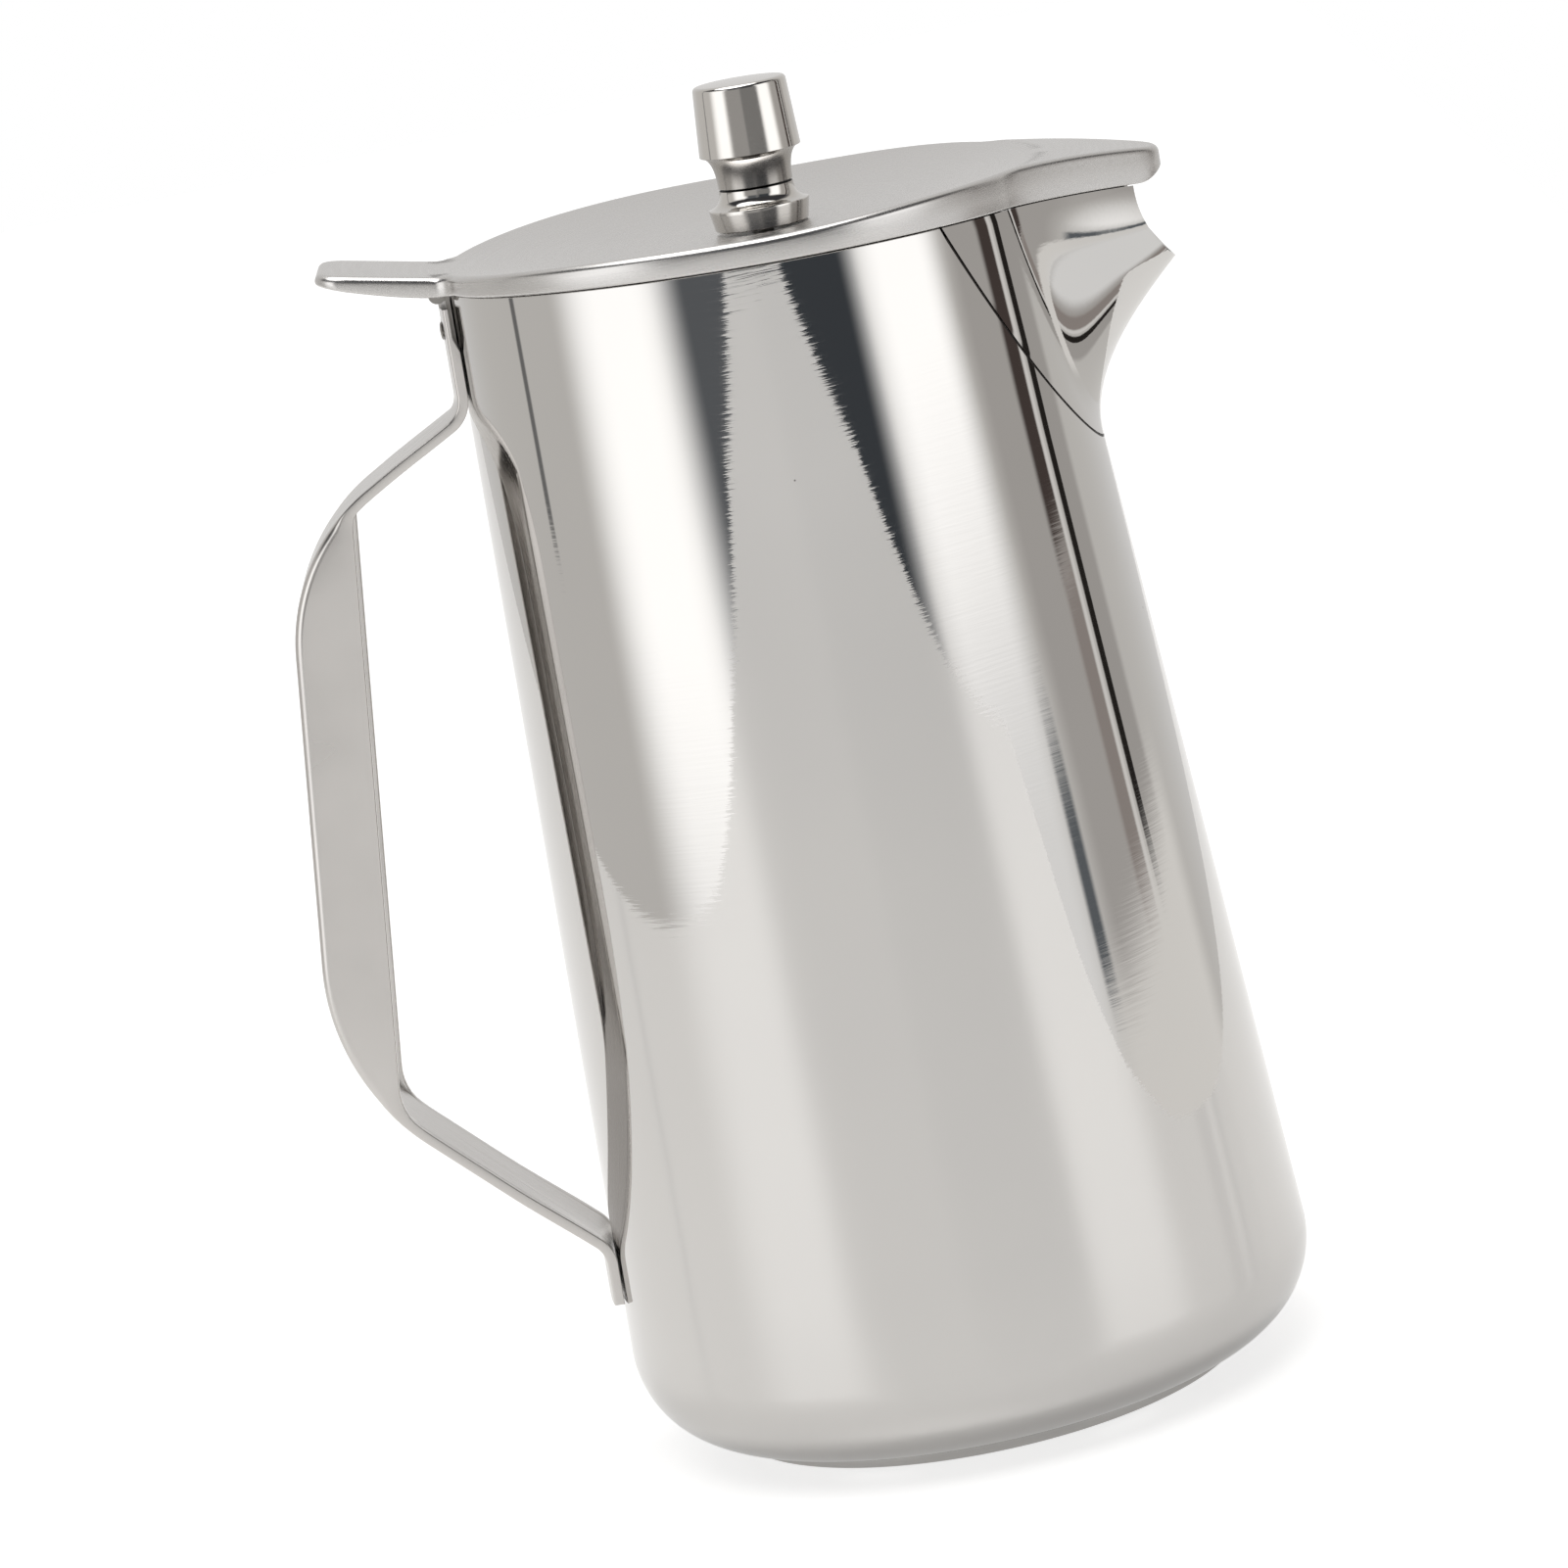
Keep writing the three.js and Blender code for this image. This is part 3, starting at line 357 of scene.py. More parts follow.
def densify(line: Sequence[Vector], longest: float) -> list[Vector]:
    """Add points to a line so that no stretch is longer than a length.

    Args:
        line: Points of the line.
        longest: Longest stretch allowed.

    Returns:
        Points of the denser line, without doubled points.
    """
    dense = [line[0]]
    for start, end in zip(line, line[1:]):
        gap = (end - start).length
        if gap > SLACK:
            pieces = max(1, math.ceil(gap / longest))
            dense.extend(start.lerp(end, share) for share in spaced(0, 1, pieces + 1)[1:])
    return dense


def reach_to_line(start: Vector, heading: Vector, line: Sequence[Vector], least: float) -> float:
    """Distance from a point along a heading to a line.

    Args:
        start: Point to look from.
        heading: Direction to look in.
        line: Points of the line.
        least: Distance to return where the line is nearer or missed.

    Returns:
        The nearest crossing's distance, at least the least distance.
    """
    hits = []
    for a, b in zip(line, line[1:]):
        along = b - a
        crossing = heading.cross(along)
        if abs(crossing) > PARALLEL:
            distance = (a - start).cross(along) / crossing
            share = (a - start).cross(heading) / crossing
            if -SLACK <= share <= 1 + SLACK and distance > OWN_LINE * least:
                hits.append(distance)
    return max(least, min(hits)) if hits else least


@dataclass(frozen=True)
class SteelFinish:
    """Stainless steel sheet with the fine lines that its last polishing wheel left."""

    name: str
    colour: str
    cloud_colour: str
    roughness: float
    roughness_spread: float
    # Real lines are a few hundredths of a millimetre apart, which is too fine to show in the
    # render, so they are drawn about ten times as coarse.
    line_spacing: float
    line_length: float
    line_depth: float
    cloud_size: float
    pit_spacing: float
    pit_size: float
    grain: Grain = Grain.ROUND
    axis_x: float = 0.0
    # Radius at which a line that runs round the axis has the stated length.
    line_radius: float = 60.0
    # Values of the lines' noise over which the roughness is spread.
    line_range: Flat = (0.3, 0.7)
    # Share of a pit's size that is dark right through.
    pit_floor: float = 0.4
    pit_colour: str = "#4a4643"
    least_roughness: float = 0.01
    inside_roughness: float = 0.35
    # Colour of the inside faces: the vessel's own satin tone, and painted shade in the knob's joint
    # and bore.
    inside_tone_and_painted_shade: str = "#c4c2bf"

    def lines(self, tree: NodeTree, place_on: NodeSocket) -> Node:
        """Polishing lines as a stretched noise.

        Args:
            tree: Node tree of the material.
            place_on: Object coordinates.

        Returns:
            Noise node that is long along the lines and fine across them.
        """
        node = partial(add_node, tree)
        fine, long = 1 / (self.line_spacing * MM), 1 / (self.line_length * MM)
        if self.grain is Grain.LENGTHWISE:
            stretched = node("Mapping", {"Scale": (long, fine, long)}, {0: place_on})
        else:
            centred = node("Mapping", {"Location": (-self.axis_x * MM, 0, 0)}, {0: place_on})
            x, y, z = node("SeparateXYZ", links={0: centred}).outputs
            flat = node("VectorMath", {"operation": "MULTIPLY", 1: (1, 1, 0)}, {0: centred})
            radius = node("VectorMath", {"operation": "LENGTH"}, {0: flat}).outputs["Value"]
            angle = node("Math", {"operation": "ARCTAN2"}, {0: y, 1: x})
            polar = node("CombineXYZ", links={0: radius, 1: angle, 2: z})
            scale = (fine, self.line_radius / self.line_length, fine)
            stretched = node("VectorMath", {"operation": "MULTIPLY", 1: scale}, {0: polar})
        return node("TexNoise", {"Scale": 1.0, "Detail": 2.0}, {"Vector": stretched})

    def material(self) -> Material:
        """Build the finish: lines in roughness and bump, clouds in colour, and a few pits.

        Returns:
            The new material.
        """
        made = bpy.data.materials.new(self.name)
        made.use_nodes = True
        tree = made.node_tree
        node = partial(add_node, tree)
        place_on = node("TexCoord").outputs["Object"]
        lines = self.lines(tree, place_on)
        clouds = node(
            "TexNoise", {"Scale": 1 / (self.cloud_size * MM), "Detail": 3.0}, {"Vector": place_on}
        )
        pits = node("TexVoronoi", {"Scale": 1 / (self.pit_spacing * MM)}, {"Vector": place_on})
        reach = self.pit_size / self.pit_spacing / 2
        pit = node(
            "MapRange",
            {"From Min": reach * self.pit_floor, "From Max": reach, "To Min": 1.0, "To Max": 0.0},
            {"Value": pits.outputs["Distance"]},
        )
        inside = node("Attribute", {"attribute_name": INSIDE}).outputs["Fac"]
        colour = node(
            "Mix",
            {"data_type": "RGBA", 6: linear(self.colour), 7: linear(self.cloud_colour)},
            {0: clouds.outputs["Fac"]},
        )
        # The inside faces take the inside colour, which in the knob's joint and bore is painted
        # shade.
        for share, tone in ((pit, self.pit_colour), (inside, self.inside_tone_and_painted_shade)):
            colour = node(
                "Mix", {"data_type": "RGBA", 7: linear(tone)}, {0: share, 6: colour.outputs[2]}
            )
        roughness = node(
            "MapRange",
            {
                "From Min": self.line_range[0],
                "From Max": self.line_range[1],
                "To Min": max(self.least_roughness, self.roughness - self.roughness_spread),
                "To Max": self.roughness + self.roughness_spread,
            },
            {"Value": lines.outputs["Fac"]},
        )
        dulled = node(
            "Math",
            {"operation": "MULTIPLY_ADD", 1: self.inside_roughness},
            {0: inside, 2: roughness},
        )
        bump = node(
            "Bump",
            {"Strength": 1.0, "Distance": self.line_depth * MM},
            {"Height": lines.outputs["Fac"]},
        )
        shader = tree.nodes["Principled BSDF"]
        shader.inputs["Metallic"].default_value = 1.0
        tree.links.new(colour.outputs[2], shader.inputs["Base Color"])
        tree.links.new(dulled.outputs[0], shader.inputs["Roughness"])
        tree.links.new(bump.outputs[0], shader.inputs["Normal"])
        return made


@dataclass(frozen=True)
class VesselForm:
    """Round, tapered wall and sloping rim that the other pieces follow."""

    base_radius: float = 62.0
    top_radius: float = 52.75
    rim_height: float = 213.8
    rim_slope: float = math.radians(2.5)
    rim_bow: float = 1.15
    corner_top: float = 19.0
    lid_overhang: float = 0.95
    lid_gap: float = 0.3

    @property
    def lid_radius(self) -> float:
        """Radius of the lid's round edge."""
        return self.top_radius + self.lid_overhang

    @property
    def lean(self) -> float:
        """Angle by which the wall leans inwards."""
        return math.atan((self.base_radius - self.top_radius) / (self.rim_height - self.corner_top))

    def radius(self, height: float) -> float:
        """Radius of the outer wall at a height."""
        share = (height - self.corner_top) / (self.rim_height - self.corner_top)
        return self.base_radius + (self.top_radius - self.base_radius) * share

    def sag(self, across: float, height: float) -> float:
        """How far the round wall falls back from its rearmost line at a sideways distance."""
        radius = self.radius(height)
        return radius - math.sqrt(radius * radius - across * across)

    def bow(self, forward: float) -> float:
        """How far the bowed rim falls away towards the spout and the hinge."""
        return self.rim_bow * (abs(max(forward, -self.lid_radius)) / self.top_radius) ** 3

    def rim(self, forward: float) -> float:
        """Height of the rim, a gap below the lid's lower edge."""
        slope = forward * math.tan(self.rim_slope)
        return self.rim_height - self.lid_gap - slope - self.bow(forward)


@dataclass
class Vessel:
    """Drawn vessel and the beak spout that is welded into its front wall."""

    form: VesselForm
    wall: float = 1.0
    rim_edge: float = 0.1
    foot_radius: float = 46.5
    foot_height: float = 2.5
    foot_edge: float = 0.7
    foot_round: float = 0.3
    corner_reach: float = 15.0
    columns: int = 384
    wall_rows: int = 14
    corner_rows: int = 22
    spout_depth: float = 48.1
    spout_half_angle: float = math.radians(51)
    spout_sharp: float = 60.0
    seam_power: float = 2.4
    seam_gap: float = 0.45
    tip_reach: float = 20.95
    tip_drop: float = 20.3
    lip_reach: float = 15.65
    lip_hollow: float = 1.65
    lip_power: float = 1.15
    keel_rise: float = 11.3
    keel_pitch: float = math.radians(41)
    keel_run: float = 9.6
    beak_reach: float = 24.25
    beak_round: Flat = (0.333, 0.06)
    flare_reach: float = 16.0
    flare_bend: Flat = (0.333, 0.2)
    wall_lap: float = math.radians(19)
    wall_lap_power: float = 0.7
    spout_columns: int = 160
    spout_rows: int = 72
    # Place across from which a point lies on the rim.
    rim_share: float = 0.9999
    # Place across that still counts as the keel, how the grid crowds towards it, and the half
    # width up to which the sheet is drawn anew where points ran past it.
    keel_share: float = 1e-4
    keel_crowding: float = 1.5
    keel_band: float = 1.2
    weld_radius: float = 0.3
    weld_sink: float = 0.4
    weld_share: float = 0.985
    weld_rows: int = 240
    weld_sides: int = 8
    weld_sharp: float = 80.0

    @property
    def lip_x(self) -> float:
        """Place of the lip's upper ends."""
        return self.form.top_radius + self.lip_reach

    @property
    def beak_x(self) -> float:
        """Place where the beak would end if its lip weren't cut."""
        return self.form.top_radius + self.beak_reach

    @property
    def spout_bottom(self) -> float:
        """Height of the seam's lowest point."""
        return self.form.rim_height - self.spout_depth

    @property
    def tip(self) -> Vector:
        """Side view of the lip's lowest point."""
        return Vector((self.form.top_radius + self.tip_reach, self.form.rim_height - self.tip_drop))

    def seam_height(self, share: float, margin: float) -> float:
        """Height of the spout's seam.

        Args:
            share: Share of the spout's half angle, from 0 at the keel to 1 at the rim.
            margin: Distance outside the spout's own edge.

        Returns:
            Height on the wall.
        """
        bottom = self.spout_bottom
        top = self.form.rim(self.form.top_radius * math.cos(self.spout_half_angle))
        return bottom - margin + (top - bottom) * abs(share) ** self.seam_power

    def corner(self, inset: float) -> list[Flat]:
        """Profile of the rounded bottom edge, from the foot up to the wall.

        Args:
            inset: Distance inside the outer face.

        Returns:
            Points as radius and height.
        """
        form, reach = self.form, self.corner_reach
        rise = form.corner_top - self.foot_height
        return [
            (
                form.base_radius - reach + (reach - inset) * math.sin(angle),
                form.corner_top - (rise - inset) * math.cos(angle),
            )
            for angle in spaced(0, QUARTER, self.corner_rows)
        ]

    def wall_top(self, angle: float) -> float:
        """Height at which the wall ends.

        Args:
            angle: Angle from the spout's middle.

        Returns:
            Height of the rim, or of the spout's notch where that is lower.
        """
        share = abs(angle) / (self.spout_half_angle + self.seam_gap / self.form.top_radius)
        rim = self.form.rim(self.form.top_radius * math.cos(angle))
        return min(rim, self.seam_height(share, self.seam_gap)) if share < 1 else rim

    def build_body(self) -> Object:
        """Spin the vessel's shell and trim its top to the rim and the spout's seam.

        Returns:
            The finished body.
        """
        form = self.form
        edge, top, step = self.rim_edge, form.rim_height, self.foot_round * self.foot_edge
        rows = spaced(form.corner_top, top - edge, self.wall_rows)[1:]
        outside = [
            (0.0, 0.0),
            (self.foot_radius - self.foot_edge, 0.0),
            (self.foot_radius - step, step),
            (self.foot_radius, self.foot_edge),
            (self.foot_radius, self.foot_height),
            *self.corner(0),
            *((form.radius(z), z) for z in rows),
            (form.radius(top) - edge, top),
            (form.radius(top) - self.wall + edge, top),
        ]
        inner = [*self.corner(self.wall), *((form.radius(z) - self.wall, z) for z in rows)]
        floor = [
            (self.foot_radius - self.wall, self.foot_height + self.wall),
            (self.foot_radius - self.wall, self.wall),
            (0.0, self.wall),
        ]
        bm = bmesh.new()
        turn(bm, [*outside, *reversed(inner), *floor], self.columns, len(outside))
        for vert in bm.verts:
            height = vert.co.z
            if height > form.corner_top:
                drop = top - self.wall_top(math.atan2(vert.co.y, vert.co.x))
                lowered = height - drop * (height - form.corner_top) / (top - form.corner_top)
                flat = math.hypot(vert.co.x, vert.co.y)
                scale = (flat + form.radius(lowered) - form.radius(height)) / flat
                vert.co = vert.co.x * scale, vert.co.y * scale, lowered
        return make_piece(bm, "vessel_body")

    def lip_point(self, share: float) -> Vector:
        """Side view of the hollowed lip.

        Args:
            share: Place across, as in spout_point.

        Returns:
            Place in the direction of pouring, and height.
        """
        drop = max(0.0, math.cos(share * QUARTER)) ** self.lip_power
        end = Vector((self.lip_x, self.form.rim(self.lip_x)))
        hollow = Vector((4 * self.lip_hollow * drop * (1 - drop), 0))
        return end.lerp(self.tip, drop) - hollow

    def side_curve(self, share: float) -> list[Vector]:
        """Line of the sheet from its seam to its lip, in side view.

        Args:
            share: Place across, as in spout_point.

        Returns:
            The four control points of the line's curve.
        """
        lean, pitch = self.form.lean, self.keel_pitch
        height = self.seam_height(share, 0)
        start = Vector((self.form.radius(height) * math.cos(share * self.spout_half_angle), height))
        end = self.lip_point(share)
        up = Vector((-math.sin(lean), math.cos(lean))) * self.keel_rise
        keel = Vector((math.cos(pitch), math.sin(pitch))) * self.keel_run
        flare = Vector((self.flare_reach, 0))
        side = abs(share)
        return [start, start + up.lerp(flare, side), end - keel.lerp(flare, side), end]

    def keel_x(self, height: float) -> float:
        """Place of the keel, which runs on above the tip to the beak's cut-off end.

        Args:
            height: Height above the table.

        Returns:
            Place in the direction of pouring.
        """
        if height <= self.tip.y:
            keel = self.side_curve(0)
            return bezier([p.x for p in keel], searched([p.y for p in keel], height))
        full = self.form.rim(self.lip_x) - self.tip.y
        climb = height - self.tip.y
        bend = self.tip.x + full / math.tan(self.keel_pitch) - self.beak_x
        return self.tip.x + climb / math.tan(self.keel_pitch) - bend * (climb / full) ** 2

    def flank(self, x: float, share: float, radius: float, keel: float) -> float:
        """Half width of a level cut through the spout.

        Args:
            x: Place in the direction of pouring.
            share: Height of the cut, from 0 at the seam's bottom to 1 at the rim.
            radius: Radius of the wall at that height.
            keel: Place of the keel at that height.

        Returns:
            Distance from the middle: first on the round wall, then on the beak.
        """
        seam = self.spout_half_angle * share ** (1 / self.seam_power)
        angle = max(0.0, seam - self.wall_lap * share**self.wall_lap_power)
        sin, cos = math.sin(angle), math.cos(angle)
        if x <= radius * cos:
            return math.sqrt(radius * radius - x * x)
        if x >= keel:
            return 0.0
        chord = math.hypot(keel - radius * cos, radius * sin)
        bend, soft = (
            chord * (low + (high - low) * share) for low, high in (self.flare_bend, self.beak_round)
        )
        at = searched([radius * cos, radius * cos + bend * sin, keel, keel], x)
        return bezier([radius * sin, radius * sin - bend * cos, soft, 0.0], at)

    def half_width(self, x: float, height: float, keel: float) -> float:
        """Half width of the spout at a place in side view, with the keel's place at its height."""
        level = (height - self.spout_bottom) / (self.form.rim(x) - self.spout_bottom)
        return self.flank(x, clamped(level), self.form.radius(height), keel)

    def spout_point(self, share: float, rise: float) -> Vector:
        """Place on the outside of the spout's sheet.

        Args:
            share: Place across, from -1 at one rim end through 0 at the keel to 1.
            rise: Place from 0 at the seam to 1 at the lip.

        Returns:
            The place on the outer face.
        """
        spot = bezier(self.side_curve(share), rise)
        height = self.form.rim(spot.x) if abs(share) > self.rim_share else spot.y
        half = self.half_width(spot.x, height, self.keel_x(height))
        return Vector((spot.x, math.copysign(half, share) if share else 0.0, height))

    def round_keel(self, row: Sequence[BMVert], shares: Sequence[float]) -> None:
        """Bring back onto the sheet the points of a row that ran past the keel.

        Args:
            row: Points of the sheet at one place between seam and lip.
            shares: Their places across, as in the grid.
        """
        pairs = list(zip(row, shares))
        if all(vert.co.y for vert, share in pairs if abs(share) > self.keel_share):
            return
        low = min((abs(share), vert.co.z) for vert, share in pairs)[1]
        edge, width, high = min(
            (abs(share), abs(vert.co.y), vert.co.z)
            for vert, share in pairs
            if abs(vert.co.y) > self.keel_band
        )
        for vert, share in pairs:
            if abs(share) < edge:
                half = width * abs(share) / edge
                height = low + (high - low) * (share / edge) ** 2
                keel = self.keel_x(height)
                x = halved(
                    keel - 2 * self.keel_band,
                    keel,
                    lambda x: self.half_width(x, height, keel) > half,
                )
                vert.co = x, math.copysign(half, share), height

    def build_spout(self) -> Object:
        """Shape a grid into the spout's sheet and give it its wall.

        Returns:
            The finished spout.
        """
        bm = bmesh.new()
        bmesh.ops.create_grid(
            bm, x_segments=self.spout_columns, y_segments=self.spout_rows, size=1.0
        )
        rows: dict[float, list[BMVert]] = {}
        for vert in bm.verts:
            rows.setdefault(round(vert.co.y, ROW_DECIMALS), []).append(vert)
        for row in rows.values():
            shares = [vert.co.x for vert in row]
            for vert, share in zip(row, shares):
                crowded = math.copysign(abs(share) ** self.keel_crowding, share)
                vert.co = self.spout_point(crowded, (vert.co.y + 1) / 2)
            self.round_keel(row, shares)
        bmesh.ops.remove_doubles(bm, verts=bm.verts, dist=MERGED)
        bm.normal_update()
        if sum(face.normal.x for face in bm.faces) < 0:
            bmesh.ops.reverse_faces(bm, faces=bm.faces)
        cut = [edge.is_boundary for edge in bm.edges]
        piece = make_piece(bm, "beak_spout", self.spout_sharp)
        for edge, sharp in zip(piece.data.edges, cut):
            edge.use_edge_sharp = edge.use_edge_sharp or sharp
        shell = piece.modifiers.new("wall", "SOLIDIFY")
        shell.thickness = self.wall * MM
        shell.offset = -1.0
        return piece

    def seam_point(self, share: float) -> Vector:
        """Place in the middle of the seam's gap, sunk below the wall's face.

        Args:
            share: Place across, as in spout_point.

        Returns:
            The place on the bead's middle line.
        """
        half = self.seam_gap / 2
        angle = share * (self.spout_half_angle + half / self.form.top_radius)
        height = self.seam_height(share, half)
        radius = self.form.radius(height) - self.weld_sink
        return Vector((radius * math.cos(angle), radius * math.sin(angle), height))

    def build_weld(self) -> Object:
        """Loft a thin bead along the seam.

        Returns:
            The finished bead.
        """
        shares = spaced(-self.weld_share, self.weld_share, self.weld_rows)
        points = [self.seam_point(share) for share in shares]
        rings = [[points[0]] * self.weld_sides]
        for before, point, after in zip([points[0], *points], points, [*points[1:], points[-1]]):
            along = (after - before).normalized()
            across = along.cross(Vector((point.x, point.y, 0))).normalized()
            out = across.cross(along)
            rings.append([
                point + self.weld_radius * (math.cos(turned) * out + math.sin(turned) * across)
                for turned in spaced(0, math.tau, self.weld_sides + 1)[:-1]
            ])
        rings.append([points[-1]] * self.weld_sides)
        bm = bmesh.new()
        loft(bm, rings)
        return make_piece(bm, "spout_weld", self.weld_sharp)

    def dress(self, polished: Material, weld: Material) -> None:
        """Build body, spout and weld and place them in their finishes.

        Args:
            polished: Finish of body and spout.
            weld: Finish of the bead.
        """
        place(self.build_body(), Body.VESSEL, Slot.POLISHED, polished, "body")
        place(self.build_spout(), Body.VESSEL, Slot.POLISHED, polished, "spout")
        place(self.build_weld(), Body.VESSEL, Slot.PLAIN, weld)


@dataclass
class StrapHandle:
    """Bent strap, flat at its welded tabs and legs and pressed into a channel at the grip."""

    form: VesselForm
    width: float = 20.0
    thickness: float = 1.8
    edge: float = 0.35
    press_radius: float = 1.5
    press_full: float = 3.0
    web_bend: float = 0.8
    least_lip: float = 0.15
    round_share: float = 0.45
    flat_depth: float = 0.01
    top: float = 212.38
    bottom: float = 30.7
    upper_tab: float = 18.4
    lower_tab: float = 9.6
    grip_top_reach: float = 28.1
    grip_top_drop: float = 18.4
    grip_low_reach: float = 41.38
    grip_low_rise: float = 41.3
    grip_depth: float = 12.0
    bend_radii: tuple[float, ...] = (5.0, 36.0, 42.0, 5.0)
    flange_radii: tuple[float, ...] = (6.8, 4.0, 10.0, 6.8)
    weld_gap: float = 0.3
    hug_reach: float = 14.0
    leaf_seat: float = 1.2
    leaf_lap: float = 7.6
    longest: float = 3.0
    arc_steps: int = 26
    face_steps: int = 10
    press_points: int = 6
    edge_points: int = 4
    sharp: float = 50.0

    @property
    def depth_to_wall(self) -> float:
        """Distance from the vessel's wall to the outer face of a welded tab."""
        return self.weld_gap + self.thickness

    def outer_corners(self) -> list[Vector]:
        """Corners of the outer face in side view.

        Returns:
            Six corners from the top end down.
        """
        upper, lower = self.top - self.upper_tab, self.bottom + self.lower_tab
        top, high, low, bottom = (
            Vector((-(self.form.radius(z) + self.depth_to_wall), z))
            for z in (self.top, upper, lower, self.bottom)
        )
        base = self.form.base_radius
        grip_top = Vector((-(base + self.grip_top_reach), upper - self.grip_top_drop))
        grip_low = Vector((-(base + self.grip_low_reach), lower + self.grip_low_rise))
        return [top, high, grip_top, grip_low, low, bottom]

    def stations(self) -> list[tuple[Vector, Vector, float]]:
        """Places along the strap.

        Returns:
            Outer point, inward direction and depth to the flange's free edge at each station.
        """
        corners = self.outer_corners()
        thin = self.thickness
        inner = offset_line(corners, [thin, thin, self.grip_depth, thin, thin])
        outer_line = densify(rounded_line(corners, self.bend_radii, self.arc_steps), self.longest)
        inner_line = rounded_line(inner, self.flange_radii, self.arc_steps)
        found = []
        for i, spot in enumerate(outer_line):
            before, after = outer_line[max(0, i - 1)], outer_line[min(i + 1, len(outer_line) - 1)]
            along = (after - before).normalized()
            inward = Vector((-along.y, along.x))
            found.append((spot, inward, reach_to_line(spot, inward, inner_line, thin)))
        return found

    def section(self, depth: float, seat: float) -> list[Flat | Vector]:
        """Cross-section of the strap at one station.

        Args:
            depth: Depth of the flanges, or the strap's thickness where it is flat.
            seat: Thickness of the web.

        Returns:
            Closed ring of places across and inwards.
        """
        half, edge, count = self.width / 2, self.edge, self.edge_points
        share = smoothstep(depth, self.thickness, self.press_full * self.thickness)
        press = min(edge + (self.press_radius - edge) * share, depth * self.round_share)
        flange = half - self.thickness
        web = min(seat, depth)
        room = self.round_share * (depth - web)
        bend = min(self.web_bend, room) if depth > web + self.flat_depth else 0.0
        lip = min(edge, room + self.least_lip)
        right = [
            *arc((half - press, press), press, -QUARTER, 0, self.press_points),
            *arc((half - lip, depth - lip), lip, 0, QUARTER, count),
            *arc((flange + lip, depth - lip), lip, QUARTER, math.pi, count),
            *arc((flange - bend, web + bend), bend, 0, -QUARTER, count),
        ]
        face = spaced(-(half - press), half - press, self.face_steps + 1)[1:-1]
        web_face = spaced(flange - bend, -(flange - bend), self.face_steps + 1)[1:-1]
        return [
            *((y, 0.0) for y in face),
            *right,
            *((y, web) for y in web_face),
            *((-y, deep) for y, deep in reversed(right)),
        ]

    def build(self) -> Object:
        """Loft the cross-section along the strap and curve its tabs round the vessel.

        Returns:
            The finished strap.
        """
        form = self.form
        rings = []
        for spot, inward, depth in self.stations():
            on_leaf = spot.y > self.top - self.leaf_lap
            seat = self.depth_to_wall - self.leaf_seat if on_leaf else self.thickness
            ring = []
            for across, deep in self.section(seat if on_leaf else depth, seat):
                flat = spot + inward * deep
                reach = -flat.x - form.radius(flat.y) - self.depth_to_wall
                hug = 1 - smoothstep(reach, 0, self.hug_reach)
                ring.append(Vector((flat.x + hug * form.sag(across, flat.y), across, flat.y)))
            rings.append(ring)
        count = len(rings[0])
        start, end = ([sum(ring, Vector()) / count] * count for ring in (rings[0], rings[-1]))
        bm = bmesh.new()
        loft(bm, [start, *rings, end])
        return make_piece(bm, "strap_handle", self.sharp)

    def dress(self, satin: Material) -> None:
        """Build the strap and place it in satin steel."""
        place(self.build(), Body.VESSEL, Slot.SATIN, satin, "handle")


